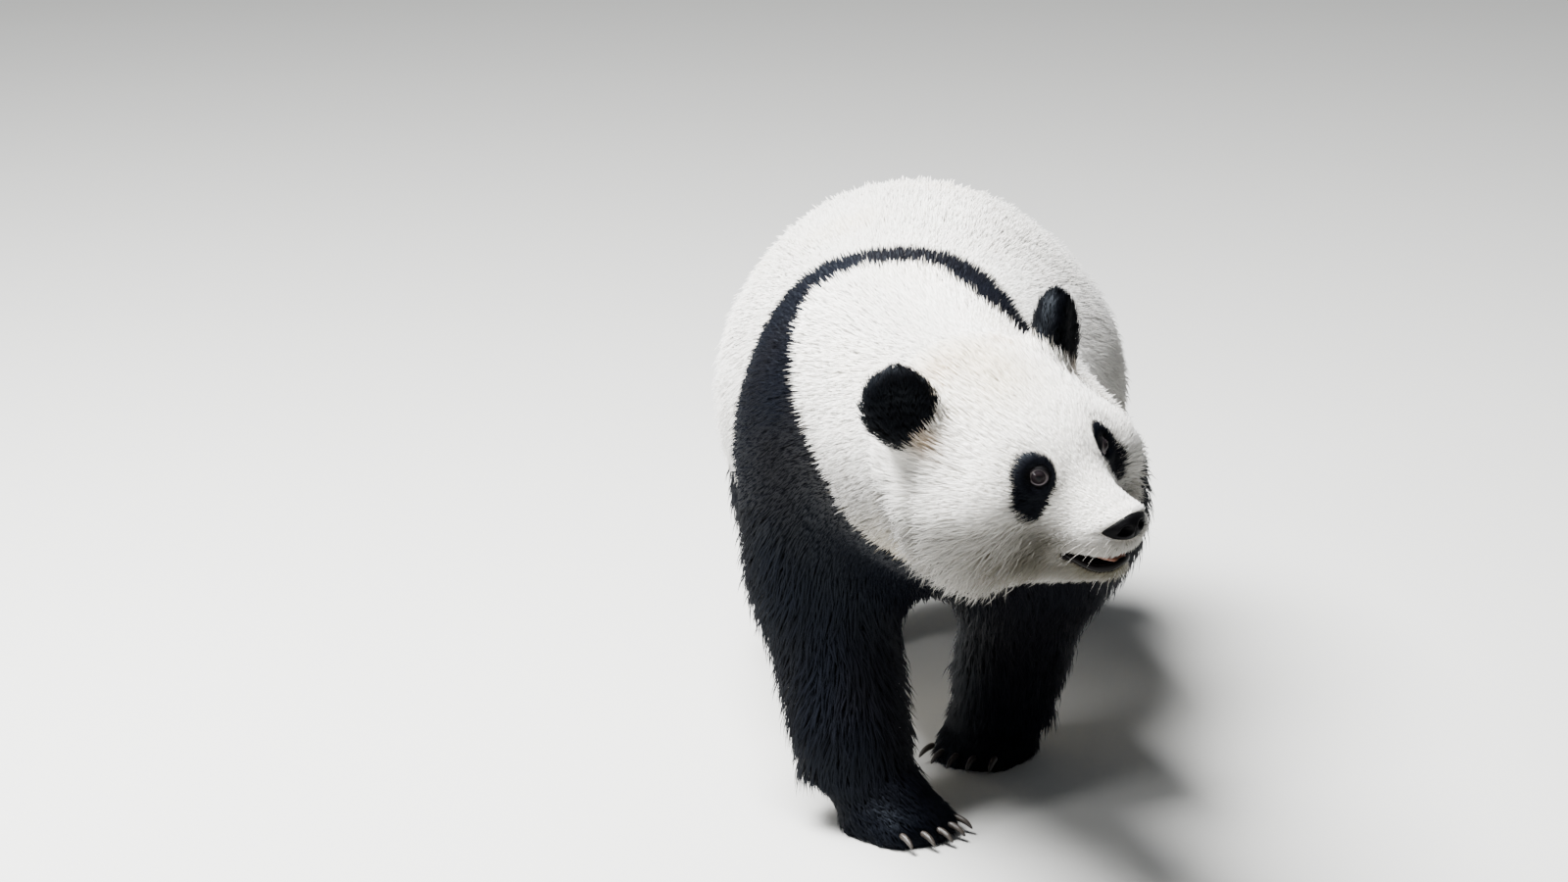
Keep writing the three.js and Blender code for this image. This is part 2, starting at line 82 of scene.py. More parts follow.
# Of each part: depth of its coat, length and width of its tufts, and how far they stray, in mm.
COATS = {
    "trunk": (15, 30, 1.7, 0.08),
    "shoulders": (14, 22, 1.5, 0.08),
    "neck": (15, 24, 1.5, 0.08),
    "tail": (14, 46, 3.2, 0.25),
    "foreleg": (15, 44, 2.6, 0.22),
    "hindleg": (15, 44, 2.8, 0.22),
    "forepaw": (6, 20, 2.0, 0.22),
    "hindpaw": (6, 20, 2.2, 0.22),
    "ear": (6, 17, 1.6, 0.26),
    "head": (11, 24, 1.5, 0.08),
}
FACE = {"brow": (7, 15, 1.4, 0.08), "cheek": (22, 46, 1.6, 0.32), "muzzle": (3.5, 9, 1.1, 0.10)}
FACE |= {"chin": (6, 17, 1.2, 0.26), "eyes": (2.0, 7, 0.9, 0.06)}
EAR_SWELL = {"ear_right": 4.0, "ear_left": 6.5}  # how far the ears' skin is let out, in mm
COVER = 5.0  # layers of tufts over each place of the skin
COAT_TRIANGLES = 1_480_000

WHITE = np.array([0.80, 0.765, 0.69])
CREAM = np.array([0.74, 0.61, 0.40])
TAN = np.array([0.44, 0.29, 0.155])
# OLIVE and GREY are real stains and also painted shade on the muzzle, jaw, low neck, flank and cheek folds
OLIVE = np.array([0.055, 0.046, 0.027])
GREY = np.array([0.33, 0.31, 0.27])
BLACK = np.array([0.0014, 0.0017, 0.0034])
BROWN_BLACK = np.array([0.0040, 0.0028, 0.0026])
BARE = np.array([0.003, 0.0025, 0.0025])
LID_BLACK = np.array([0.003, 0.003, 0.0035])
# pale rim of the lids: partly their own colour, partly painted sheen of their wet edge
LID_RIM = np.array([0.12, 0.105, 0.115])
NOSE_BLACK = np.array([0.0012, 0.0012, 0.0015])
LIP_BLACK = np.array([0.002, 0.0016, 0.0016])
TONGUE_RED = np.array([0.24, 0.095, 0.055])
HORN_BROWN = np.array([0.026, 0.021, 0.017])
WHISKER_WHITE = np.array([0.7, 0.68, 0.62])

# ---------------------------------------------------------------- arrays


def unit(vectors):
    """Vectors divided by their lengths."""
    return vectors / np.maximum(np.linalg.norm(vectors, axis=-1, keepdims=True), 1e-9)


def along(vectors, normals):
    """The part of each vector that lies in the plane across its normal, one long."""
    return unit(vectors - np.sum(vectors * normals, axis=-1, keepdims=True) * normals)


def ease(low, high, value):
    """From 0 below low to 1 above high, as 3t^2 - 2t^3 between them."""
    t = np.clip((value - low) / (high - low), 0, 1)
    return t * t * (3 - 2 * t)


def hump(distance, width):
    """1 at no distance, falling off as a bell of that width."""
    return np.exp(-((distance / width) ** 2))


def mix(a, b, share):
    """Each row's blend of a and b."""
    share = np.asarray(share)[:, None]
    return a * (1 - share) + b * share


def noise(points, size, seed=0):
    """From -1 to 1: random numbers at the corners of cubes of that size, eased between them."""
    cell = np.floor(points / size).astype(np.int64)
    t = points / size - cell
    t = t * t * (3 - 2 * t)
    total = np.zeros(len(points))
    for corner in np.ndindex(2, 2, 2):
        key = (cell + corner) @ np.array([73856093, 19349663, 83492791]) + seed * 2654435761
        key = (key ^ (key >> 13)) * 1274126177 & 0x7FFFFFFF
        key = (key ^ (key >> 15)) & 0xFFFF
        weight = np.prod(np.where(corner, t, 1 - t), axis=1)
        total += weight * (key / 32767.5 - 1)
    return total


def turn_angles(count):
    """Even angles once round."""
    return np.arange(count) * 2 * math.pi / count


def turned(axis, degrees):
    """The rotation by an angle about X, Y or Z, as three rows."""
    c, s = math.cos(math.radians(degrees)), math.sin(math.radians(degrees))
    turn = np.eye(3)
    i, j = [(1, 2), (2, 0), (0, 1)]["XYZ".index(axis)]
    turn[i, i], turn[i, j], turn[j, i], turn[j, j] = c, -s, s, c
    return turn


# ---------------------------------------------------------------- frames


def centre(node):
    """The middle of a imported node's box."""
    low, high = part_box(node)
    return (np.array(low) + np.array(high)) / 2


# The head's frame has its nose at -Y and its left at +X; the body's is unturned.
HEAD_AXES = turned("Z", HEAD_TURN["yaw"]) @ turned("X", HEAD_TURN["nod"])
HEAD_AXES = HEAD_AXES @ turned("Y", -HEAD_TURN["tilt"])
HEAD_ORIGIN = (centre("eye_left") + centre("eye_right")) / 2 - HEAD_AXES @ EYES_AT
BODY_ORIGIN = HEAD_ORIGIN - HEAD_AT


def in_head(points):
    """Places told in the head's frame."""
    return (points - HEAD_ORIGIN) @ HEAD_AXES


def from_head(points):
    """Places in the head's frame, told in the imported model's."""
    return np.asarray(points) @ HEAD_AXES.T + HEAD_ORIGIN


# ---------------------------------------------------------------- meshes


def mesh_object(name, points, faces):
    """A smooth mesh object from corners and faces with the same number of sides."""
    mesh = bpy.data.meshes.new(name)
    mesh.vertices.add(len(points))
    mesh.vertices.foreach_set("co", np.asarray(points, np.float32).ravel())
    mesh.loops.add(faces.size)
    mesh.loops.foreach_set("vertex_index", faces.astype(np.int32).ravel())
    mesh.polygons.add(len(faces))
    mesh.polygons.foreach_set("loop_start", np.arange(0, faces.size, faces.shape[1], dtype=np.int32))
    mesh.update(calc_edges=True)
    mesh.shade_smooth()
    piece = bpy.data.objects.new(name, mesh)
    bpy.context.scene.collection.objects.link(piece)
    return piece


def corners_of(mesh):
    """The place of each corner."""
    points = np.empty(len(mesh.vertices) * 3)
    mesh.vertices.foreach_get("co", points)
    return points.reshape(-1, 3)


def edges_of(mesh):
    """The two corners of each edge."""
    edges = np.empty(len(mesh.edges) * 2, np.int64)
    mesh.edges.foreach_get("vertices", edges)
    return edges.reshape(-1, 2)


def triangles_of(mesh):
    """The three corners of each triangle."""
    mesh.calc_loop_triangles()
    triangles = np.empty(len(mesh.loop_triangles) * 3, np.int64)
    mesh.loop_triangles.foreach_get("vertices", triangles)
    return triangles.reshape(-1, 3)


def tree_of(piece):
    """A piece's surface, to be met by rays."""
    return BVHTree.FromPolygons(corners_of(piece.data).tolist(), triangles_of(piece.data).tolist())


def normals_at(points, triangles):
    """Each corner's normal: its triangles' normals, added up by their areas."""
    a, b, c = points[triangles].transpose(1, 0, 2)
    face = np.cross(b - a, c - a)
    total = np.zeros_like(points)
    for column in range(3):
        for corner in range(3):
            total[:, column] += np.bincount(triangles[:, corner], face[:, column], len(points))
    return unit(total)


def neighbour_mean(values, edges):
    """Each corner's mean over the corners that it shares an edge with."""
    a, b = edges.T
    count = np.maximum(np.bincount(edges.ravel(), minlength=len(values)), 1)
    sums = [np.bincount(a, v[b], len(values)) + np.bincount(b, v[a], len(values)) for v in values.T]
    return np.stack(sums, axis=1) / count[:, None]


def smoothed(values, edges, rounds, share=0.5):
    """Values moved towards their neighbours' mean, by a share of the way each round."""
    flat = values.ndim == 1
    values = values[:, None] if flat else values
    share = np.broadcast_to(share, len(values))[:, None]
    for _ in range(rounds):
        values = values + share * (neighbour_mean(values, edges) - values)
    return values[:, 0] if flat else values


def grid_faces(rows, columns):
    """Squares between the rows of a grid whose rows close on themselves."""
    i, j = np.meshgrid(np.arange(rows - 1), np.arange(columns), indexing="ij")
    k = (j + 1) % columns
    below, above = i * columns, (i + 1) * columns
    return np.stack([below + j, below + k, above + k, above + j], -1).reshape(-1, 4)


def halved(squares):
    """Two triangles from each square."""
    return np.concatenate([squares[:, [0, 1, 2]], squares[:, [0, 2, 3]]])


def capped(rings):
    """Corners and triangles of rings of points, the first and last capped by their middles."""
    rows, columns, _ = rings.shape
    points = np.concatenate([rings.reshape(-1, 3), rings[:1].mean(1), rings[-1:].mean(1)])
    walls = grid_faces(rows, columns)
    here = np.arange(columns)
    beside = (here + 1) % columns
    first, last = rows * columns, rows * columns + 1
    end = (rows - 1) * columns
    caps = [[beside, here, here * 0 + first], [end + here, end + beside, here * 0 + last]]
    caps = [np.stack(cap, 1) for cap in caps]
    return points, np.concatenate([halved(walls)] + caps)


def closed_grid(name, rings):
    """A closed object from rings of points."""
    return outward(mesh_object(name, *capped(rings)))


def wrapped_grid(name, rings):
    """A closed object from rings whose last runs on into the first."""
    rows, columns, _ = rings.shape
    squares = grid_faces(rows + 1, columns) % (rows * columns)
    return mesh_object(name, rings.reshape(-1, 3), squares)


def outward(piece):
    """Turns a closed mesh's faces outwards."""
    bm = bmesh.new()
    bm.from_mesh(piece.data)
    bmesh.ops.recalc_face_normals(bm, faces=bm.faces)
    bm.to_mesh(piece.data)
    bm.free()
    return piece


def set_colours(piece, name, colours):
    """A colour on each corner of the mesh."""
    layer = piece.data.attributes.new(name, "FLOAT_COLOR", "POINT")
    values = np.ones((len(colours), 4), np.float32)
    values[:, :3] = colours
    layer.data.foreach_set("color", values.ravel())


def set_values(piece, name, values):
    """A number on each corner of the mesh."""
    layer = piece.data.attributes.new(name, "FLOAT", "POINT")
    layer.data.foreach_set("value", np.asarray(values, np.float32))


# ---------------------------------------------------------------- the skin


def packed(node):
    """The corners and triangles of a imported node."""
    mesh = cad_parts[node].data
    return corners_of(mesh), triangles_of(mesh)


def ellipsoid(middle, half, rows=17, columns=24):
    """The corners and triangles of an ellipsoid in the head's frame, by latitude and longitude."""
    down, turn = np.meshgrid(np.linspace(0.02, math.pi - 0.02, rows), turn_angles(columns), indexing="ij")
    ball = np.stack([np.sin(down) * np.cos(turn), np.sin(down) * np.sin(turn), np.cos(down)], -1)
    points = from_head((ball * half + middle).reshape(-1, 3))
    return points, halved(grid_faces(rows, columns))


def joined(parts):
    """Several pairs of corners and triangles as one."""
    starts = np.cumsum([0] + [len(points) for points, _ in parts[:-1]])
    faces = np.concatenate([triangles + start for start, (_, triangles) in zip(starts, parts)])
    return np.concatenate([points for points, _ in parts]), faces


def remeshed():
    """The flesh nodes as one mesh of even squares, with the mouth and the nose's bed filled up."""
    mouth = ellipsoid(np.array([0, -44, -94]) * MM, np.array([34, 47, 14]) * MM)
    bed = ellipsoid(np.array([0, -88, -52]) * MM, np.array([38, 29, 20]) * MM)
    skin = mesh_object("skin", *joined([packed(node) for node in FLESH] + [mouth, bed]))
    remesh = skin.modifiers.new("one body", "REMESH")
    remesh.mode = "VOXEL"
    remesh.voxel_size = VOXEL
    mesh = bpy.data.meshes.new_from_object(skin.evaluated_get(bpy.context.evaluated_depsgraph_get()))
    skin.modifiers.clear()
    skin.data = mesh
    return skin


class Parts:
    """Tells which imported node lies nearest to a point."""

    def __init__(self):
        points, triangles = joined([packed(node) for node in FLESH])
        self.tree = BVHTree.FromPolygons(points.tolist(), triangles.tolist())
        self.owner = np.repeat(np.arange(len(FLESH)), [len(packed(node)[1]) for node in FLESH])

    def nearest(self, points):
        """The place in FLESH of the node nearest to each point."""
        found = [self.tree.find_nearest(point)[2] for point in points.tolist()]
        return self.owner[np.array(found)]


def by_part(nearest, value_of):
    """A value for each corner from its part's name, with or without its side."""
    table = np.array([value_of(node) for node in FLESH], float)
    return table[nearest]


def coat_key(node):
    """A part's name without its side, as COATS has it; the jaw wears the head's coat."""
    name = node.replace("_right", "").replace("_left", "")
    return {"jaw": "head"}.get(name, name)


def on_parts(nearest, *keys):
    """1 on the parts of those names, on either side, and 0 elsewhere."""
    return by_part(nearest, lambda node: coat_key(node) in keys)


def muzzle_share(head):
    """1 on the muzzle, 0 behind the cheekbones."""
    x, y, z = (head / MM).T
    return ease(16, -34, y) * ease(86, 52, np.abs(x))


def cheek_share(head):
    """1 on the lower cheeks and the jowl, where the ruff grows."""
    x, y, z = (head / MM).T
    return ease(-45, 25, y) * ease(0, -55, z + 0.15 * np.abs(x))


def brow_share(head):
    """1 round the eyes and on the forehead between them."""
    _, y, z = (head / MM).T
    return ease(75, 25, y) * ease(-60, -30, z)


def chin_share(head):
    """1 under the chin, between the lower lip and the throat."""
    _, y, z = (head / MM).T
    return ease(-94, -108, z) * ease(20, -20, y)


def eye_share(head):
    """1 close round the eyes."""
    return np.max([ease(36 * MM, 20 * MM, eye.around(head)[3]) for eye in EYES], axis=0)


def coat_fields(skin_points, nearest):
    """The coat's depth, its tufts' length, width and straying at each corner of the skin."""
    fields = np.stack([by_part(nearest, lambda node, i=i: COATS[coat_key(node)][i]) for i in range(4)], 1)
    head = in_head(skin_points)
    on_head = on_parts(nearest, "head")
    shares = {"brow": brow_share, "cheek": cheek_share, "muzzle": muzzle_share}
    shares |= {"chin": chin_share, "eyes": eye_share}
    for area, share in shares.items():
        fields = mix(fields, np.array(FACE[area]), share(head) * on_head)
    fields[:, :3] *= MM
    return fields


def refine(skin, chosen):
    """Parts in four the squares whose corners are all chosen."""
    bm = bmesh.new()
    bm.from_mesh(skin.data)
    bm.verts.ensure_lookup_table()
    edges = [edge for edge in bm.edges if chosen[edge.verts[0].index] and chosen[edge.verts[1].index]]
    bmesh.ops.subdivide_edges(bm, edges=edges, cuts=1, use_grid_fill=True)
    bm.to_mesh(skin.data)
    bm.free()


def move_to(skin, points):
    """Puts the skin's corners at new places."""
    skin.data.vertices.foreach_set("co", np.asarray(points, np.float32).ravel())
    skin.data.update()


def smooth_skin(skin, rounds, share):
    """Moves the skin's corners towards their neighbours' mean."""
    move_to(skin, smoothed(corners_of(skin.data), edges_of(skin.data), rounds, share))


def from_face(skin):
    """How far each corner is from a point behind the muzzle, in mm."""
    return np.linalg.norm(in_head(corners_of(skin.data)) / MM - [0, -40, -30], axis=1)


def make_skin(parts):
    """The skin: the solids made one, their facets smoothed away, set in by the coat's depth."""
    skin = remeshed()
    points = corners_of(skin.data)
    nearest = parts.nearest(points)
    softness = {"trunk": 0.6, "shoulders": 0.6, "neck": 0.5, "head": 0.12, "tail": 0.15, "ear": 0.12}
    softness |= {"foreleg": 0.35, "hindleg": 0.35, "forepaw": 0.08, "hindpaw": 0.08}
    share = smoothed(by_part(nearest, lambda node: softness[coat_key(node)]), edges_of(skin.data), 10)
    smooth_skin(skin, 40, share)
    keep_soles(skin)
    for reach in (130, 60):
        refine(skin, from_face(skin) < reach * 1.25)
        smooth_skin(skin, 6, 0.5 * ease(reach * 1.3, reach, from_face(skin)))
    points = corners_of(skin.data)
    edges = edges_of(skin.data)
    nearest = parts.nearest(points)
    depth = coat_fields(points, nearest)[:, 0] - MM * by_part(nearest, lambda node: EAR_SWELL.get(node, 0))
    depth = smoothed(depth, edges, 12)
    depth *= ease(1 * MM, 25 * MM, points[:, 2])
    normals = smoothed(normals_at(points, triangles_of(skin.data)), edges, 3)
    move_to(skin, smoothed(points - unit(normals) * depth[:, None], edges, 3, 0.4))
    keep_soles(skin)
    return skin


def keep_soles(skin):
    """Puts the undersides of the paws back on the floor."""
    points = corners_of(skin.data)
    points[:, 2] = np.where(points[:, 2] < 3 * MM, 0, points[:, 2])
    move_to(skin, points)


# ---------------------------------------------------------------- the face's forms


class Eye:
    """An eye's place in the head's frame and the direction in which it looks."""

    def __init__(self, side):
        self.side = side
        self.sign = -1 if side == "right" else 1
        self.out = unit(np.array([self.sign * 0.68, -0.72, 0.12]))
        self.middle = in_head(centre("eye_" + side)) - EYE_DEEPER * self.out + np.array([0, 0, EYE_HIGHER])
        self.across = unit(np.cross(self.out, [0, 0, 1])) * -self.sign  # towards the nose
        self.up = np.cross(self.across, self.out) * -self.sign

    def around(self, head):
        """Places as directions from the eye: across towards the nose, up, and out, and how far."""
        offset = head - self.middle
        far = np.linalg.norm(offset, axis=1)
        across, up, out = (offset @ axis for axis in (self.across, self.up, self.out))
        return across, up, out, far

    def opening(self, across, up):
        """1 on the rim of the lids, less inside it: an almond whose corners slant down outwards."""
        slant = math.radians(LID_SLANT)
        u = across * math.cos(slant) + up * math.sin(slant)
        v = up * math.cos(slant) - across * math.sin(slant)
        return np.hypot(u / LID_OPENING[0], v / LID_OPENING[1])


EYES = [Eye(side) for side in SIDES]


def carve_face(skin):
    """Sinks the skin behind the eyeballs, under the nose pad, in the mouth and behind the cheeks.

    It swells a little round the eyes, the muzzle widens, and above the nose pad the bridge comes
    forward to the pad's rim.
    """
    head = in_head(corners_of(skin.data))
    for eye in EYES:
        head = head + EYE_SWELL * ease(34 * MM, 16 * MM, eye.around(head)[3])[:, None] * eye.out
        across, up, out, far = eye.around(head)
        near = (out > 0) & (far < 40 * MM)
        sunk = ease(1.34, 1.12, eye.opening(across, up)) * near
        reach = np.minimum(far, EYE_RADIUS - 3 * MM)
        head = eye.middle + (head - eye.middle) * mix(np.ones((len(head), 1)), (reach / far)[:, None], sunk)
    muzzle = ease(-35, -80, head[:, 1] / MM) * ease(-80, -58, head[:, 2] / MM)
    head[:, 0] *= 1 + 0.13 * muzzle
    head = round_pad(head)
    head[:, 1] += NOSE_BED * ease(0.9, 0.6, nose_outline(head)) * by_nose(head)
    head[:, 0] -= np.sign(head[:, 0]) * CHEEK_FOLD * crease_share(head)
    head = carve_mouth(head)
    move_to(skin, from_head(head))


def round_pad(head):
    """Draws the bridge of the nose forward to the upper rim of the pad, so that the pad is set in."""
    x, y, z = ((head - NOSE_MIDDLE) / MM).T
    share = ease(0.85, 1.0, nose_outline(head)) * ease(1.4, 1.02, nose_outline(head))
    share *= ease(-8, 2, z) * ease(60, 40, y)
    drawn = head.copy()
    drawn[:, 1] -= share * np.maximum(y - pad_front(x, z) - 5, 0) * MM
    return drawn


def crease_share(head):
    """1 in the fold that runs down behind each cheek, where the ruff of the neck begins."""
    x, y, z = (head / MM).T
    fold = hump(y - 108 - 0.22 * z, 15)
    return fold * ease(30, -20, z) * ease(70, 110, np.abs(x))


NOSE_MIDDLE = np.array([0, -117.5, -52]) * MM
NOSE_WIDE, NOSE_TALL = 34, 15.5  # half the nose pad's width and height, in mm


def pad_front(x, z):
    """How far the pad's front is bent back at each place, from its middle, in mm."""
    return 17 * (x / 33) ** 2 + 4 * (np.clip(z, -15, 15) / 15) ** 2


def by_nose(head):
    """Whether each place is in front of the back of the nose pad's bed."""
    return head[:, 1] < NOSE_MIDDLE[1] + 28 * MM


def nose_outline(head):
    """1 on the nose pad's outline as seen from the front, less inside it."""
    x, _, z = ((head - NOSE_MIDDLE) / MM).T
    return ((np.abs(x) / NOSE_WIDE) ** 1.5 + (np.abs(z) / NOSE_TALL) ** 1.5) ** (1 / 1.5)


# The mouth is a line round the muzzle, told by the angle from straight ahead as seen from a
# point inside the muzzle, below the eyes.
MOUTH_MIDDLE = np.array([0, -42, -94]) * MM
MOUTH_CORNER = math.radians(95)


def mouth_edges(angle):
    """Heights of the upper and the lower edge of the opening, which meet at the corners."""
    turn = np.degrees(np.abs(angle))
    upper = np.interp(turn, [0, 60, 80, 95], [-86, -87, -87, -87])
    lower = np.interp(turn, [0, 18, 38, 50, 64, 77, 95], [-100, -105, -107, -105.5, -102, -96, -87.5])
    return upper * MM, lower * MM


def round_mouth(head):
    """Angle from straight ahead and distance from the mouth's middle, level in the head's frame."""
    x, y = (head - MOUTH_MIDDLE).T[:2]
    return np.arctan2(x, -y), np.hypot(x, y)


def above_mouth(head):
    """How far each place is above the opening, or below it as less than nothing; 0 within it."""
    angle, _ = round_mouth(head)
    upper, lower = mouth_edges(angle)
    return np.maximum(head[:, 2] - upper, 0) + np.minimum(head[:, 2] - lower, 0)


def by_mouth(head):
    """Whether each place is in front of the corners of the mouth."""
    return (np.abs(round_mouth(head)[0]) < MOUTH_CORNER) & (head[:, 1] < 0)


def carve_mouth(head):
    """Moves what lies between the lips in towards the mouth's middle."""
    angle, far = round_mouth(head)
    upper, lower = mouth_edges(angle)
    depth = MOUTH_DEPTH * ease(1 * MM, 6 * MM, upper - lower) * by_mouth(head)
    depth *= ease(2.5 * MM, -1.0 * MM, np.abs(above_mouth(head)))
    share = np.maximum(far - depth, 6 * MM) / np.maximum(far, 1e-6)
    carved = head.copy()
    carved[:, :2] = MOUTH_MIDDLE[:2] + (head[:, :2] - MOUTH_MIDDLE[:2]) * np.minimum(share, 1)[:, None]
    return carved


# ---------------------------------------------------------------- markings


def band_share(body):
    """1 in the black band over the shoulders and down to the forelegs, with soft edges.

    Its front and rear edges are told by height, apart for the two sides: the animal bends to its
    left, so on that side the band is drawn forward and narrower.
    """
    x, y, z = (body / MM).T
    left = ease(-40, 40, x)
    heights = [160, 300, 410, 460, 530, 615, 663, 712]
    front_right = np.interp(z, heights, [-560, -420, -262, -206, -152, -70, 6, 4])
    front_left = np.interp(z, [160, 300, 420, 540, 650, 686, 712], [-560, -420, -260, -180, -87, -60, 2])
    rear_right = np.interp(z, [300, 530, 600, 650, 690, 712], [84, 92, 125, 125, 96, 66])
    rear_left = np.interp(z, [300, 500, 647, 668, 694, 712], [70, 20, -33, 4, 43, 66])
    front = front_right + (front_left - front_right) * left
    rear = rear_right + (rear_left - rear_right) * left
    return ease(-3, 3, np.minimum(y - front, rear - y))


def patch_share(head):
    """1 in the eye patches: ovals round the eyes, slanting down and outwards, wider above.

    The right one is the larger, as such a pair is seldom alike.
    """
    x, y, z = (head / MM).T
    larger = ease(10, -10, x)
    middle = np.interp(z, [-47, -20, 0, 35], [76, 72, 61, 50]) + 2.5 * larger
    half = np.interp(z, [-45, -5, 35], [22, 23.5, 26]) * (1 + 0.14 * larger)
    inside = np.hypot((np.abs(x) - middle) / half, (z + 6) / 42)
    return ease(1.05, 0.95, inside) * (y < 45)


def black_share(points, edges, nearest):
    """How black each place is, from 0 to 1."""
    body, head = points - BODY_ORIGIN, in_head(points)
    on_legs = on_parts(nearest, "foreleg", "hindleg", "forepaw", "hindpaw")
    legs = smoothed(on_legs, edges, 60)
    on_band = on_parts(nearest, "neck", "shoulders", "trunk", "foreleg")
    ears = smoothed(on_parts(nearest, "ear"), edges, 2)
    wander = 0.10 * noise(points, 0.05, 1) + 0.05 * noise(points, 0.016, 2)
    share = np.maximum(ease(0.40, 0.54, legs + wander), on_band * band_share(body + wander[:, None] * 0.05))
    share = np.maximum(share, ease(0.38, 0.55, ears + wander))
    on_head = on_parts(nearest, "head")
    return np.maximum(share, on_head * patch_share(head + wander[:, None] * 0.012))


def spot(head, at, width):
    """A soft round stain on the head, its place and width in mm."""
    return hump(np.linalg.norm(head / MM - np.array(at), axis=1), width)


def coat_colour(points, normals, nearest, black):
    """The colour of the coat: cream white, stained and with painted shade, or blue-black.

    Each entry is a colour and its share at each place. The crown and upper side are stained cream,
    the ears' bases tan at their inner and outer ends, the lower cheeks, jowl and chin olive, and the
    far rump of the left flank beige-grey; faces that look down are creamier. Painted shade greys the
    muzzle's lower half, makes the olive of the jaw and chin far darker than its own tone, and darkens
    the low neck, the rear of the left flank, lower down the more, and the fold behind the cheeks.
    """
    head, body = in_head(points), points - BODY_ORIGIN
    _, y, z = (head / MM).T
    on_head, on_neck = on_parts(nearest, "head"), on_parts(nearest, "neck")
    mottle = noise(points, 0.06, 3)
    upward = normals[:, 2]
    muzzle = on_head * ease(-25, -75, z) * ease(0, -45, y)
    jowl = ease(-75, -15, y) * ease(-25, -78, z + 12 * mottle)
    cheek = on_head * np.maximum(jowl, chin_share(head))
    low_neck = on_neck * ease(0.57, 0.46, body[:, 2] + 0.02 * mottle)
    crown = on_head * spot(head, [-20, 120, 100], 70)
    flank = ease(0.1, 0.35, body[:, 1]) * ease(0.02, 0.2, body[:, 0])
    marks_and_shade = [
        # painted shade: grey, with a little olive, over the lower half of the muzzle
        (GREY, 0.9 * muzzle),
        (OLIVE, 0.18 * muzzle),
        # olive on the lower cheeks, jowl and chin: partly their real stain, partly painted shade under the
        # jaw that makes it far darker
        (OLIVE, (0.97 - 0.05 * ease(0, 60, y)) * np.clip(cheek * (0.97 + 0.3 * mottle), 0, 1)),
        # painted shade: olive under the neck, full towards its lower edge
        (OLIVE, 0.94 * np.clip(low_neck * (1 + 0.3 * mottle), 0, 1)),
        (CREAM, 0.8 * np.clip(crown * (1 + 0.5 * mottle), 0, 1)),
        (CREAM, 0.45 * np.clip(noise(points, 0.12, 7), 0, 1) * ease(0.3, 0.9, upward)),
        # the rear of the left flank: partly its own beige-grey, partly painted shade on the side turned from
        # the light
        (GREY, 0.95 * flank),
        # olive on that flank, darker towards the bottom
        (OLIVE, 0.35 * flank * ease(0.62, 0.48, body[:, 2])),
        (CREAM, 0.45 * ease(-0.2, -0.8, upward) * (1 - on_head)),
        # painted shade in the fold behind each cheek
        (GREY, 0.5 * on_head * crease_share(head)),
    ]
    for sign in (-1, 1):
        marks_and_shade.append((TAN, 0.75 * on_head * spot(head, [sign * 53, 150, 100], 22)))
        marks_and_shade.append((TAN, 0.9 * on_head * spot(head, [sign * 124, 108, 44], 20)))
    colour = WHITE * (1 + 0.03 * mottle + 0.02 * noise(points, 0.014, 4))[:, None]
    for mark, share in marks_and_shade:
        colour = mix(colour, mark, share)
    dark = mix(np.tile(BLACK, (len(points), 1)), BROWN_BLACK, 0.35 * np.clip(0.4 + mottle, 0, 1))
    return mix(colour, dark * (1 - 0.6 * on_parts(nearest, "ear"))[:, None], black)


# ---------------------------------------------------------------- the lie of the coat


def lie_of(points, normals, nearest):
    """The way the hair lies: back from the nose, along the trunk and down its sides and legs."""
    head, body = in_head(points), points - BODY_ORIGIN
    nose = np.array([0, -118, -46]) * MM
    from_nose = unit(head - nose)
    fall = ease(-5, -100, head[:, 2] / MM) * ease(-60, 40, head[:, 1] / MM)
    from_nose[:, 2] -= 1.1 * fall + 1.1 * over_lip(head)
    for eye in EYES:
        from_nose += 1.3 * eye_ring(eye, head)[:, None] * unit(head - eye.middle)
    on_head = from_nose @ HEAD_AXES.T
    neck = unit(unit(body - HEAD_AT) + np.array([-0.25, 0.55, -0.55]))
    trunk = np.repeat([[0.0, 1.0, -0.22]], len(points), 0)
    trunk[:, 2] -= 0.75 * np.abs(normals[:, 0]) ** 1.5
    ways = {"head": on_head, "neck": neck, "trunk": trunk, "shoulders": trunk}
    ways["foreleg"] = ways["hindleg"] = np.array([[0.0, 0.22, -1.0]])
    ways["tail"] = np.array([[0.0, 0.1, -1.0]])
    lie = np.zeros_like(points)
    for index, node in enumerate(FLESH):
        here = nearest == index
        key = coat_key(node)
        if key in ways:
            way = np.broadcast_to(ways[key], points.shape)[here]
        elif key == "ear":
            root = from_head(in_head(centre(node)) - np.array([0, 0, 55]) * MM)
            way = unit(points[here] - root)
        else:
            toes = centre(f"claw_{node}_3") - centre(node)
            way = unit(toes * [1, 1, 0]) * 0.8 + [0, 0, -0.55]
        lie[here] = way
    return along(lie, normals)


def over_lip(head):
    """1 just above the opening of the mouth, where the hair hangs down over the upper lip."""
    off = above_mouth(head)
    return ease(16 * MM, 4 * MM, off) * (off > 0) * by_mouth(head) * ease(-20, -45, head[:, 1] / MM)


def eye_ring(eye, head):
    """1 on the lids, where the hair parts round the eye, less away from them."""
    return ease(32 * MM, 15 * MM, eye.around(head)[3])


def settled_lie(points, normals, edges, nearest):
    """The lie of the coat, evened out where one part of the body meets the next."""
    lie = lie_of(points, normals, nearest)
    for _ in range(6):
        lie = along(smoothed(lie, edges, 5), normals)
    return lie


# ---------------------------------------------------------------- the coat


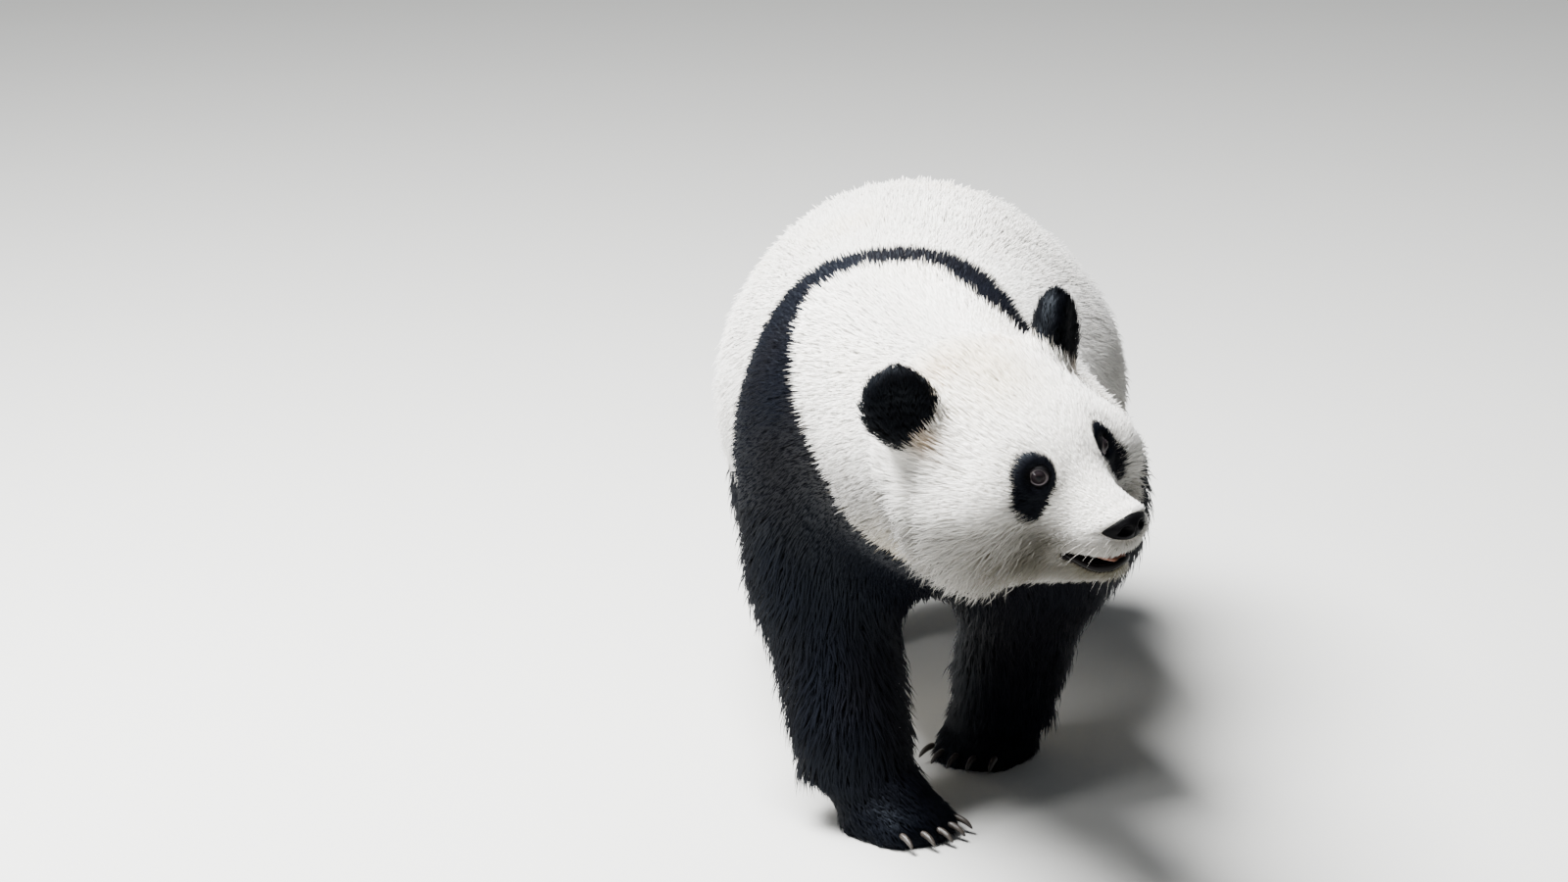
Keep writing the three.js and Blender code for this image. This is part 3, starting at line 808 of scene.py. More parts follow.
class Ground:
    """The skin as the coat needs it: its triangles, and what holds at each of its corners.

    A tuft shows most in its outer half, so its markings are those of the place that it covers,
    a share COVERED of its length on from its root.
    """

    COVERED = 0.55

    def __init__(self, skin, parts):
        self.points = corners_of(skin.data)
        self.triangles = triangles_of(skin.data)
        edges = edges_of(skin.data)
        self.normals = normals_at(self.points, self.triangles)
        self.nearest = parts.nearest(self.points)
        fields = coat_fields(self.points, self.nearest)
        self.depth, self.length, self.width, self.stray = smoothed(fields, edges, 8).T
        self.lie = settled_lie(self.points, self.normals, edges, self.nearest)
        shown = self.points + self.lie * (self.COVERED * self.length)[:, None]
        shown += self.normals * self.depth[:, None]
        self.black = black_share(shown, edges, self.nearest)
        self.colour = coat_colour(shown, self.normals, self.nearest, self.black)
        self.bare = bare_share(self.points, self.normals)
        self.colour = mix(self.colour, BARE, self.bare)


def lip_edge(head):
    """1 round the opening of the mouth, where the skin between the hairs is as dark as the lips."""
    return by_mouth(head) * ease(13 * MM, 10 * MM, np.abs(above_mouth(head)))


def bare_share(points, normals):
    """1 where no hair grows: soles, behind the eyes, inside the mouth and under the nose pad."""
    head = in_head(points)
    bare = ease(4 * MM, 1 * MM, points[:, 2])
    for eye in EYES:
        across, up, out, far = eye.around(head)
        bare = np.maximum(bare, (out > 0) * (far < 30 * MM) * ease(1.24, 1.12, eye.opening(across, up)))
    off = above_mouth(head)
    bare = np.maximum(bare, by_mouth(head) * ease(3.0 * MM, 1.5 * MM, off) * ease(-7.5 * MM, -6.5 * MM, off))
    return np.maximum(bare, ease(1.03, 0.98, nose_outline(head)) * by_nose(head))


def unwrap(skin):
    """Lays the skin out flat, in charts along its own folds, as the map OFBake."""
    skin.data.uv_layers.new(name="OFBake")
    bpy.context.view_layer.objects.active = skin
    skin.select_set(True)
    bpy.ops.object.mode_set(mode="EDIT")
    bpy.ops.mesh.select_all(action="SELECT")
    bpy.ops.uv.smart_project(angle_limit=math.radians(66), island_margin=0.002)
    bpy.ops.object.mode_set(mode="OBJECT")
    skin.select_set(False)


def triangle_uvs(skin):
    """The skin map's place of each corner of each triangle."""
    loops = np.empty(len(skin.data.loop_triangles) * 3, np.int64)
    skin.data.loop_triangles.foreach_get("loops", loops)
    uv = np.empty(len(skin.data.loops) * 2)
    skin.data.uv_layers["OFBake"].data.foreach_get("uv", uv)
    return uv.reshape(-1, 2)[loops].reshape(-1, 3, 2)


LONG = 42 * MM  # tufts longer than this bend in two places
LOCK = 15 * MM  # size of the locks that tufts gather into
LOWEST = 0.3 * MM  # no tuft reaches below this height over the floor


class Tufts:
    """The roots of the coat, spread evenly over the skin, and what grows from each."""

    def __init__(self, ground, uvs, share):
        triangle, weights = self.scatter(ground, share)
        corners = ground.triangles[triangle]

        def take(values):
            return np.einsum("ij,ij...->i...", weights, values[corners])

        self.root = take(ground.points)
        self.normal = unit(take(ground.normals))
        self.lie = along(take(ground.lie), self.normal)
        self.length, self.width, self.depth = (take(v) for v in (ground.length, ground.width, ground.depth))
        self.stray, self.black, self.colour = (take(v) for v in (ground.stray, ground.black, ground.colour))
        self.area = ground.nearest[corners[:, 0]]
        self.uv = np.einsum("ij,ijk->ik", weights, uvs[triangle])

    def scatter(self, ground, share):
        """The triangle of each root and its place there: as many as cover the skin, less where bare."""
        a, b, c = ground.points[ground.triangles].transpose(1, 0, 2)
        size = np.linalg.norm(np.cross(b - a, c - a), axis=1) / 2
        fields = (ground.length, ground.width, ground.bare)
        length, width, bare = (field[ground.triangles].mean(1) for field in fields)
        count = size * COVER / (length * width) * (bare < 0.5)
        cost = np.where(length > LONG, 12, 6)
        count *= share * min(1.0, COAT_TRIANGLES / np.sum(count * cost))
        total = np.cumsum(count)
        number = int(total[-1])
        marks = (np.arange(number) + RNG.random(number)) / number * total[-1]
        triangle = np.minimum(np.searchsorted(total, marks), len(count) - 1)
        u, v = RNG.random((2, number))
        u, v = np.where(u + v > 1, 1 - u, u), np.where(u + v > 1, 1 - v, v)
        return triangle, np.stack([1 - u - v, u, v], 1)

    def chosen(self, which):
        """The tufts of some rows, as tufts of their own."""
        part = object.__new__(Tufts)
        part.__dict__ = {name: values[which] for name, values in self.__dict__.items()}
        return part


def wind(tufts):
    """Bends the lie a little from place to place, and each tuft by its own chance."""
    side = np.cross(tufts.lie, tufts.normal)
    sway = 1.1 * noise(tufts.root, 0.05, 5) + 0.9 * noise(tufts.root, 0.02, 6)
    sway += 0.8 * RNG.normal(size=len(sway))
    return unit(tufts.lie + side * (tufts.stray * sway)[:, None])


def lock_pull(tufts):
    """The step from each root to the middle of its lock, along the skin."""
    warp = np.stack([noise(tufts.root, 0.03, 10 + axis) for axis in range(3)], 1)
    spot_at = tufts.root / LOCK + 0.6 * warp
    step = (np.floor(spot_at) + 0.5 - spot_at) * LOCK
    return step - np.sum(step * tufts.normal, 1, keepdims=True) * tufts.normal


def tuft_mesh(tufts, stations):
    """Corners, normals and faces of tufts that are as wide as told at each station.

    A smooth tuft leaves the skin steeply and lies over: at a share t of its length it stands off
    by 1 - (1 - t)^5 of its depth. The more a tuft strays, the nearer it comes to a straight line.
    Its section is a low triangle, and it ends in points.
    """
    count = len(tufts.root)
    way = wind(tufts)
    side = np.cross(way, tufts.normal)
    chance = RNG.random((3, count))
    length = tufts.length * (0.75 + 0.5 * chance[0])
    rise = tufts.depth / tufts.length * (0.85 + 0.15 * chance[1] + 0.4 * chance[1] ** 8)
    flat = np.sqrt(np.maximum(1 - rise**2, 0.2))
    pull = lock_pull(tufts) * np.clip((tufts.stray - 0.12) * 4, 0, 0.7)[:, None]
    bend = np.clip(1.25 - 2.4 * tufts.stray, 0.45, 0.92)

    def middle(t):
        run = (t * flat * length)[:, None] * way
        stand = bend * (1 - (1 - t) ** 5) + (1 - bend) * t
        lift = (length * rise * stand - 1.2 * MM * (1 - t))[:, None] * tufts.normal
        return tufts.root + run + lift + pull * t * t

    width = (tufts.width * (0.7 + 0.6 * chance[2]))[:, None]
    up = unit(tufts.normal - way * 0.35)
    rings = []
    for t, share in stations:
        spot_at, half = middle(t), width * share / 2
        rings += [spot_at - side * half, spot_at + side * half, spot_at + up * half * 0.7]
    points = np.stack([middle(0.0)] + rings + [middle(1.0)], 1)
    points[..., 2] = np.maximum(points[..., 2], LOWEST)
    tilt = (0.12 + 1.2 * tufts.stray)[:, None] * side
    turned_out = [tufts.normal - tilt, tufts.normal + tilt, tufts.normal]
    normals = unit(np.stack([tufts.normal] + turned_out * len(stations) + [tufts.normal + way * 0.4], 1))
    return points, normals, tuft_faces(len(stations))


def tuft_faces(rings):
    """Triangles of one tuft: a fan at its root, walls between its rings, and a fan at its tip."""
    faces = [(1, 2, 0), (2, 3, 0), (3, 1, 0)]
    for ring in range(rings - 1):
        for i in range(3):
            a, b = 1 + 3 * ring + i, 1 + 3 * ring + (i + 1) % 3
            faces += [(b, a, a + 3), (b, a + 3, b + 3)]
    last, tip = 3 * rings - 2, 3 * rings + 1
    faces += [(last + 1, last, tip), (last + 2, last + 1, tip), (last, last + 2, tip)]
    return np.array(faces)


def tuft_shades(tufts, rings):
    """Colours from the root to the tip: painted shade at the root, where tufts cover one another, and painted
    light at the tip.
    """
    chance = 1 + RNG.normal(0, 1, len(tufts.root)) * (0.05 + 0.12 * tufts.stray)
    # painted shade at the root and painted light at the tip, along each tuft
    shades = np.concatenate([[0.8], np.repeat(np.linspace(0.97, 1.0, rings), 3), [1.03]])
    return np.clip(tufts.colour[:, None] * shades[:, None] * chance[:, None, None], 0, 0.95)


PATCH = 0.003  # size of a tuft on the skin's map


def tuft_uvs(tufts, rings):
    """Each tuft's patch of the map, round its root's place: across its width and along its length."""
    across = np.concatenate([[0], np.tile([-0.5, 0.5, 0], rings), [0]])
    lengthwise = np.concatenate([[-0.5], np.repeat(np.linspace(-0.2, 0.2, rings), 3), [0.5]])
    return tufts.uv[:, None] + np.stack([across, lengthwise], 1) * PATCH


def coat_piece(name, tufts, stations):
    """One mesh of many tufts."""
    points, normals, faces = tuft_mesh(tufts, stations)
    count, corners = points.shape[:2]
    every = (faces[None] + (np.arange(count) * corners)[:, None, None]).reshape(-1, 3)
    piece = mesh_object(name, points.reshape(-1, 3), every)
    set_colours(piece, "tint", tuft_shades(tufts, len(stations)).reshape(-1, 3))
    places = tuft_uvs(tufts, len(stations)).reshape(-1, 2)[every.ravel()]
    layer = piece.data.uv_layers.new(name="OFBake")
    layer.data.foreach_set("uv", places.astype(np.float32).ravel())
    piece.data.normals_split_custom_set_from_vertices(normals.reshape(-1, 3).tolist())
    return piece


SHORT_STATIONS = [(0.38, 1.0)]
LONG_STATIONS = [(0.22, 1.0), (0.62, 0.8)]
MOST_TRIANGLES = 190_000
FEWEST_TUFTS = 20  # a piece that would have fewer is left out
GROWTHS = {"head": "head", "neck": "neck", "ear": "ears", "shoulders": "shoulders", "trunk": "trunk"}
GROWTHS |= {"tail": "trunk", "foreleg": "forelegs", "hindleg": "hindlegs", "forepaw": "paws"}
GROWTHS |= {"hindpaw": "paws"}


def grow_coat(tufts):
    """The coat's pieces, and for each its colour: by part of the body, and short or long."""
    growth = np.array([GROWTHS[coat_key(node)] for node in FLESH])[tufts.area]
    dark, long = tufts.black > 0.5, tufts.length > LONG
    pieces = []
    for area, black, bent in itertools.product(sorted(set(growth)), (False, True), (False, True)):
        stations = LONG_STATIONS if bent else SHORT_STATIONS
        rows = np.flatnonzero((growth == area) & (dark == black) & (long == bent))
        if len(rows) < FEWEST_TUFTS:
            continue
        shade, size = "black" if black else "white", "long" if bent else "short"
        share = math.ceil(len(rows) * 6 * len(stations) / MOST_TRIANGLES)
        for number, some in enumerate(np.array_split(rows, share), 1):
            piece = coat_piece(f"coat_{area}_{shade}_{size}_{number}", tufts.chosen(some), stations)
            pieces.append((piece, shade + "_coat"))
    return pieces


# ---------------------------------------------------------------- eyes and lids


def eyeball(eye, rows=40, columns=48):
    """A ball round the way the eye looks, with the cornea bulging over the iris in front."""
    down = np.linspace(0.01, math.pi - 0.01, rows)[:, None]
    turn = turn_angles(columns)[None]
    bulge = 1.1 * MM * ease(0.62, 0.2, down)
    radius = EYE_RADIUS - 0.3 * MM + bulge
    across, up = radius * np.sin(down) * np.cos(turn), radius * np.sin(down) * np.sin(turn)
    out = radius * np.cos(down) + 0 * turn
    rings = eye.middle + across[..., None] * eye.across + up[..., None] * eye.up + out[..., None] * eye.out
    return from_head(rings), down + 0 * turn


LID_STEPS = np.array([-0.08, -0.04, 0, 0.05, 0.1, 0.17, 0.25, 0.34, 0.44, 0.55, 0.67, 0.8, 0.95])


def eyelids(eye, tree, columns=72):
    """The lids: from inside the rim, over its rounded edge, out over the skin, and back beneath.

    Each place is told by the turn round the eye's line of sight and the angle from it. The rim is
    the almond of Eye.opening. The lid stands a little off the eyeball, or lies on the skin where
    that is further out, and at its outer edge it sinks below the skin. Also tells how pale each
    place is: the rim is pale, partly its own colour and partly a painted sheen of its wet edge, the
    lower lid's more than the upper's.
    """
    turn = turn_angles(columns)
    reach = MM / eye.opening(np.cos(turn) * MM, np.sin(turn) * MM)
    rim = np.arcsin(np.clip(reach / EYE_RADIUS, 0, 0.95))
    rings = []
    for step in LID_STEPS:
        tilt = (rim + step)[:, None]
        way = np.sin(tilt) * (np.cos(turn)[:, None] * eye.across + np.sin(turn)[:, None] * eye.up)
        way += np.cos(tilt) * eye.out
        lid = EYE_RADIUS + (0.1 + 1.1 * ease(-0.05, 0.10, step) - 3.5 * ease(0.4, 0.8, step)) * MM
        on_skin = skin_distance(eye, way, tree) + (0.6 - 2.0 * ease(0.1, 0.4, step)) * MM
        blend = ease(0.02, 0.2, step)
        rings.append(eye.middle + way * (lid + blend * np.maximum(on_skin - lid, 0))[:, None])
    front = np.array(rings)
    beneath = front[::-1] - 1.0 * MM * unit(front[::-1] - eye.middle)
    steps = np.concatenate([LID_STEPS, LID_STEPS[::-1]])
    # the rim's share of LID_RIM: partly its own colour, partly painted sheen, the lower lid's more
    rim_sheen = ease(0.05, 0.0, steps)[:, None] * (0.15 + 0.85 * ease(0.3, -0.5, np.sin(turn)))
    return from_head(np.concatenate([front, beneath])), rim_sheen.ravel()


def skin_distance(eye, ways, tree):
    """How far the skin is from the eye's middle along each way out of it."""
    start = Vector(from_head(eye.middle))
    far = []
    for way in (ways @ HEAD_AXES.T).tolist():
        hit = tree.ray_cast(start, Vector(way), 0.08)
        far.append(min(hit[3], 1.7 * EYE_RADIUS) if hit[0] else EYE_RADIUS)
    return np.array(far)


# ---------------------------------------------------------------- nose, lips and tongue


def nose_pad(columns=120):
    """The bare nose: a pad with a pointed oval outline, nostrils like commas and a groove below.

    Each place is told by the share r of the way out from its middle and the turn round it. The
    outline is |x/a|^1.5 + |z/b|^1.5 = 1; the front is bent back by the squares of x and z and
    rolls over at its rim, and behind the rim the pad closes inside the muzzle.
    """
    front, back = np.linspace(0.01, 1, 46), np.array([0.985, 0.9, 0.5, 0.01])
    r = np.concatenate([front, back])[:, None]
    turn = turn_angles(columns)[None]
    squared = np.abs(np.cos(turn) / NOSE_WIDE) ** 1.5 + np.abs(np.sin(turn) / NOSE_TALL) ** 1.5
    outline = squared ** (-1 / 1.5)
    x, z = r * outline * np.cos(turn), r * outline * np.sin(turn)
    y = pad_front(x, z) + 2.5 * r**9
    side = np.abs(x)
    nostril = hump(np.hypot((side - 11.5) / 1.25, z - 0.5), 4.2)
    comma = hump(np.hypot((side - 19 - 0.6 * z) / 1.9, z + 3.0), 2.6)
    wing = hump(np.hypot((side - 11.5) / 1.25, z - 0.5) - 7.2, 2.4)
    groove = hump(side, 1.3) * ease(3, -7, z)
    y += (10 * nostril + 5 * comma - 1.4 * wing + 1.8 * groove) * ease(0.98, 0.75, r)
    behind = np.concatenate([0 * front, [5, 12, 15, 15]])[:, None]
    return from_head(NOSE_MIDDLE + np.stack([x, y + behind, z], -1) * MM)


def lip(tree, upper, count=81, columns=16):
    """A lip: a soft roll along an edge of the opening, thickest in front, thin at the corners.

    Its middle line lies a little inside the skin that stood there before the mouth was cut, found
    along level lines out of the mouth's middle.
    """
    angle = np.linspace(-1, 1, count) * MOUTH_CORNER
    full = np.clip(np.cos(angle * 0.95), 0, 1) ** 0.6
    radius = (1.2 + (1.6 if upper else 3.2) * full) * MM
    edges = mouth_edges(angle)
    level = edges[0] + 0.5 * radius if upper else edges[1] - 0.9 * radius
    way = np.stack([np.sin(angle), -np.cos(angle), 0 * angle], 1)
    start = np.concatenate([np.tile(MOUTH_MIDDLE[:2], (count, 1)), level[:, None]], 1)
    hits = [
        tree.ray_cast(Vector(at), Vector(out), 0.12)[3]
        for at, out in zip(from_head(start).tolist(), (way @ HEAD_AXES.T).tolist())
    ]
    line = smooth_path(start + way * (np.array(hits) - radius * (0.9 if upper else 0.4))[:, None], 6)
    tangent = unit(np.gradient(line, axis=0))
    up = along(np.array([[0.0, 0.0, 1.0]]), tangent)
    out = np.cross(tangent, up)
    turn = turn_angles(columns)[None, :, None]
    ring = np.cos(turn) * out[:, None] * 0.85 + np.sin(turn) * up[:, None]
    fade = np.clip(np.minimum(np.arange(count), np.arange(count)[::-1]) / 5, 0.15, 1)
    return from_head(line[:, None] + ring * (radius * fade)[:, None, None])


def smooth_path(points, rounds):
    """A path with each inner point moved half way to its neighbours' mean, some times."""
    for _ in range(rounds):
        points = np.concatenate([points[:1], (points[:-2] + 2 * points[1:-1] + points[2:]) / 4, points[-1:]])
    return points


def tongue_rings(rows=40, columns=36):
    """The tongue: flat and round-ended, its tip behind the lips.

    It is a flattened ellipsoid, arched along its length, with a groove along the middle of its top.
    """
    middle = np.array([0, -63, -103]) * MM
    t = np.linspace(0.02, math.pi - 0.02, rows)[:, None]
    turn = turn_angles(columns)[None]
    wide, tall = np.sin(t) * np.cos(turn), np.sin(t) * np.sin(turn)
    x, y, z = 17 * MM * wide, -27 * MM * np.cos(t) + 0 * turn, 4.6 * MM * tall
    z = z - 1.6 * MM * hump(wide, 0.22) * (tall > 0) + 3.0 * MM * (1 - (y / (27 * MM)) ** 2)
    return from_head(np.stack([x, y, z], -1) + middle)


def whisker(root, way, length, radius, columns=5, rows=7):
    """A whisker: a thin cone that droops by the square of the way along it."""
    t = np.linspace(0, 1, rows)[:, None]
    line = root + way * length * t + np.array([0, 0, -0.28]) * length * t**2
    tangent = unit(np.gradient(line, axis=0))
    side = unit(np.cross(tangent, [0.0, 0.0, 1.0]))
    up = np.cross(side, tangent)
    turn = turn_angles(columns)[None, :, None]
    ring = np.cos(turn) * side[:, None] + np.sin(turn) * up[:, None]
    return line[:, None] + ring * (radius * (1 - 0.85 * t))[..., None]


def whiskers(tree):
    """A few whiskers on both whisker pads and under the chin, as one mesh."""
    grown = []
    for sign in (-1, 1):
        for row, column in itertools.product(range(3), range(3)):
            aim = np.array([sign * (0.7 + 0.12 * column), -0.8 + 0.4 * column, 0.1 - 0.2 * row])
            grown.append(whisker_from(tree, aim, np.array([0, -74, -64]) * MM, sign, 22 + 5 * column))
        for column in range(3):
            aim = np.array([sign * 0.35, -0.7 + 0.4 * column, -1.0])
            grown.append(whisker_from(tree, aim, np.array([0, -62, -104]) * MM, sign, 26))
    return joined(grown)


def whisker_from(tree, aim, start, sign, length):
    """One whisker where a line from inside the muzzle meets the skin."""
    way = unit(aim)
    hit = tree.ray_cast(Vector(from_head(start)), Vector(HEAD_AXES @ way), 0.12)
    root = in_head(np.array(hit[0])[None])[0] - way * MM
    lean = unit(way + np.array([0.3 * sign, 0.35 + 0.2 * RNG.random(), -0.1 + 0.2 * RNG.random()]))
    return capped(from_head(whisker(root, lean, length * (0.8 + 0.4 * RNG.random()) * MM, 0.22 * MM)))


# ---------------------------------------------------------------- claws


def claws():
    """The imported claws, rounded off by two rounds of subdivision."""
    made = []
    for paw in PAWS:
        for number in range(1, 6):
            node = f"claw_{paw}_{number}"
            bm = bmesh.new()
            bm.from_mesh(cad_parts[node].data)
            bmesh.ops.remove_doubles(bm, verts=bm.verts, dist=0.01 * MM)
            mesh = bpy.data.meshes.new(node + "_horn")
            bm.to_mesh(mesh)
            bm.free()
            piece = bpy.data.objects.new(node + "_horn", mesh)
            bpy.context.scene.collection.objects.link(piece)
            mesh.shade_smooth()
            rounding = piece.modifiers.new("rounding", "SUBSURF")
            rounding.levels = rounding.render_levels = 2
            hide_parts(node)
            made.append(piece)
    return made


# ---------------------------------------------------------------- finishes


def add(tree, kind, inputs=None, **settings):
    """A shader node with its settings, its inputs set to values or linked to sockets."""
    node = tree.nodes.new("ShaderNode" + kind)
    for name, value in settings.items():
        setattr(node, name, value)
    for name, value in (inputs or {}).items():
        if isinstance(value, bpy.types.NodeSocket):
            tree.links.new(value, node.inputs[name])
        else:
            node.inputs[name].default_value = value
    return node


def shader_group(name, inputs, outputs):
    """An empty node group with named sockets: its tree, its inputs' node and its outputs' node."""
    tree = bpy.data.node_groups.new(name, "ShaderNodeTree")
    for direction, sockets in (("INPUT", inputs), ("OUTPUT", outputs)):
        for socket, kind in sockets.items():
            tree.interface.new_socket(socket, in_out=direction, socket_type="NodeSocket" + kind)
    return tree, tree.nodes.new("NodeGroupInput"), tree.nodes.new("NodeGroupOutput")


def mottled_group():
    """Lightens and darkens a tint in soft blotches, and gives the grain of its surface."""
    inputs = {"Tint": "Color", "Blotch Scale": "Float", "Blotch Strength": "Float", "Grain Scale": "Float"}
    tree, given, made = shader_group("mottled grain", inputs, {"Color": "Color", "Grain": "Float"})
    place = add(tree, "TexCoord").outputs["Object"]
    blotch = add(tree, "TexNoise", {"Vector": place, "Scale": given.outputs["Blotch Scale"], "Detail": 4.0})
    around = add(tree, "Math", {0: blotch.outputs["Fac"], 1: 0.5}, operation="SUBTRACT")
    strong = add(tree, "Math", {0: around.outputs[0], 1: given.outputs["Blotch Strength"], 2: 1.0})
    strong.operation = "MULTIPLY_ADD"
    tint = {0: given.outputs["Tint"], "Scale": strong.outputs[0]}
    shaded = add(tree, "VectorMath", tint, operation="SCALE")
    grain = add(tree, "TexNoise", {"Vector": place, "Scale": given.outputs["Grain Scale"], "Detail": 3.0})
    tree.links.new(shaded.outputs[0], made.inputs["Color"])
    tree.links.new(grain.outputs["Fac"], made.inputs["Grain"])
    return tree


def finish_of(name, group, tint, blotches, grain, bump, **shader):
    """A material: a mottled tint, fine relief from its grain, and the shader's own settings.

    The tint is a colour, or the name of the colour that each corner of the mesh carries. Blotches
    and grain are (scale, strength) and scale, per metre; bump is the relief's height in metres.
    """
    material = bpy.data.materials.new(name)
    material.use_nodes = True
    tree = material.node_tree
    principled = tree.nodes["Principled BSDF"]
    mottled = add(tree, "Group", node_tree=group)
    if isinstance(tint, str):
        carried = add(tree, "Attribute", attribute_name=tint)
        tree.links.new(carried.outputs["Color"], mottled.inputs["Tint"])
    else:
        mottled.inputs["Tint"].default_value = (*tint, 1)
    mottled.inputs["Blotch Scale"].default_value = blotches[0]
    mottled.inputs["Blotch Strength"].default_value = blotches[1]
    mottled.inputs["Grain Scale"].default_value = grain
    tree.links.new(mottled.outputs["Color"], principled.inputs["Base Color"])
    if bump:
        relief = add(tree, "Bump", {"Height": mottled.outputs["Grain"], "Strength": 1.0, "Distance": bump})
        tree.links.new(relief.outputs["Normal"], principled.inputs["Normal"])
    for socket, value in shader.items():
        principled.inputs[socket.replace("_", " ")].default_value = value
    return material


def eye_finish(name):
    """Black pupil, dark brown iris with fine spokes, and greyish white beyond its rim."""
    material = bpy.data.materials.new(name)
    material.use_nodes = True
    tree = material.node_tree
    principled = tree.nodes["Principled BSDF"]
    gaze = add(tree, "Attribute", attribute_name="gaze").outputs["Fac"]
    place = add(tree, "TexCoord").outputs["Object"]
    spokes = add(tree, "TexNoise", {"Vector": place, "Scale": 900.0, "Detail": 2.0}).outputs["Fac"]
    wander = add(tree, "Math", {0: spokes, 1: 0.08, 2: gaze}, operation="MULTIPLY_ADD").outputs[0]
    ramp = add(tree, "ValToRGB", {"Fac": wander})
    stops = [(0.0, (0.002, 0.002, 0.003)), (0.24, (0.003, 0.003, 0.004)), (0.29, (0.006, 0.0042, 0.0045))]
    stops += [(0.56, (0.011, 0.0085, 0.010)), (0.74, (0.006, 0.005, 0.006)), (0.84, (0.07, 0.06, 0.06))]
    stops += [(1.0, (0.10, 0.09, 0.09))]
    elements = ramp.color_ramp.elements
    for at, colour in stops[2:]:
        elements.new(at).color = (*colour, 1)
    for element, (at, colour) in zip(elements, stops):
        element.position = at
        element.color = (*colour, 1)
    tree.links.new(ramp.outputs["Color"], principled.inputs["Base Color"])
    principled.inputs["Roughness"].default_value = 0.12
    principled.inputs["Specular IOR Level"].default_value = 0.02
    principled.inputs["Coat Weight"].default_value = 0.1
    principled.inputs["Coat Roughness"].default_value = 0.02
    return material


def wear(piece, material):
    """Gives a piece its finish and its slot, and lets it ride on the one body."""
    piece.data.materials.clear()
    piece.data.materials.append(material)
    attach(piece, "root")
    return piece


# ---------------------------------------------------------------- making the animal

group = mottled_group()
WHITE_SHEEN = {"Sheen_Weight": 0.2, "Sheen_Roughness": 0.5, "Specular_IOR_Level": 0.15}
WHITE_SHEEN |= {"Subsurface_Weight": 0.5, "Subsurface_Radius": (0.012, 0.011, 0.010), "Subsurface_Scale": 1.0}
BLACK_SHEEN = {"Specular_IOR_Level": 0.08, "Specular_Tint": (0.7, 0.84, 1.0, 1.0)}
DULL = {"Specular_IOR_Level": 0.06}
MATT = {"Specular_IOR_Level": 0.03}
finishes = {
    "white_coat": finish_of("white coat", group, "tint", (45, 0.06), 900, 0, Roughness=0.65, **WHITE_SHEEN),
    "black_coat": finish_of("black coat", group, "tint", (60, 0.35), 900, 0, Roughness=0.55, **BLACK_SHEEN),
    "skin": finish_of("skin under the coat", group, "tint", (60, 0.2), 700, 0.0006, Roughness=0.8, **DULL),
    "lid": finish_of("eyelid", group, "tint", (300, 0.5), 2200, 0.0004, Roughness=0.5, **DULL),
    "nose": finish_of("nose leather", group, NOSE_BLACK, (250, 0.5), 1500, 0.0005, Roughness=0.5, **MATT),
    "lip": finish_of("lip", group, LIP_BLACK, (200, 0.6), 1300, 0.0005, Roughness=0.45, **DULL),
    "tongue": finish_of("tongue", group, TONGUE_RED, (220, 0.4), 1600, 0.0006, Roughness=0.3),
    "horn": finish_of("claw horn", group, HORN_BROWN, (120, 0.9), 900, 0.0004, Roughness=0.4),
    "whisker": finish_of("whisker", group, WHISKER_WHITE, (80, 0.2), 900, 0, Roughness=0.4),
    "eye": eye_finish("eye"),
}
for wet, amount in (("nose", 0.02), ("lip", 0.03), ("tongue", 0.4)):
    shader = finishes[wet].node_tree.nodes["Principled BSDF"]
    shader.inputs["Coat Weight"].default_value = amount
    shader.inputs["Coat Roughness"].default_value = 0.12

parts = Parts()
skin = make_skin(parts)
whole_face = tree_of(skin)
carve_face(skin)
face = tree_of(skin)
unwrap(skin)
ground = Ground(skin, parts)
set_colours(skin, "tint", mix(ground.colour, BARE, lip_edge(in_head(ground.points))))
wear(skin, finishes["skin"])
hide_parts(*FLESH)

tufts = Tufts(ground, triangle_uvs(skin), 1.0)
for piece, slot in grow_coat(tufts):
    wear(piece, finishes[slot])

for eye in EYES:
    rings, gaze = eyeball(eye)
    ball = closed_grid("eyeball_" + eye.side, rings)
    set_values(ball, "gaze", np.concatenate([gaze.ravel(), [0, math.pi]]))
    wear(ball, finishes["eye"])
    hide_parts("eye_" + eye.side)
    rings, wet = eyelids(eye, face)
    lids = outward(wrapped_grid("eyelids_" + eye.side, rings))
    # the pale rim: partly its own colour, partly painted sheen of the wet edge, the lower lid's more
    set_colours(lids, "tint", mix(np.tile(LID_BLACK, (len(wet), 1)), LID_RIM, wet))
    wear(lids, finishes["lid"])

nose = closed_grid("nose_pad", nose_pad())
wear(nose, finishes["nose"])
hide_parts("nose")
for name, upper in (("lip_upper", True), ("lip_lower", False)):
    wear(closed_grid(name, lip(whole_face, upper)), finishes["lip"])
tongue = closed_grid("tongue_wet", tongue_rings())
wear(tongue, finishes["tongue"])
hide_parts("tongue")
wear(outward(mesh_object("whiskers", *whiskers(whole_face))), finishes["whisker"])
for claw in claws():
    wear(claw, finishes["horn"])

# ---------------------------------------------------------------- studio


def plain(name, colour, roughness):
    """A material of one colour, for the studio."""
    material = bpy.data.materials.new(name)
    material.use_nodes = True
    material.node_tree.nodes["Principled BSDF"].inputs["Base Color"].default_value = (*colour, 1)
    material.node_tree.nodes["Principled BSDF"].inputs["Roughness"].default_value = roughness
    return material


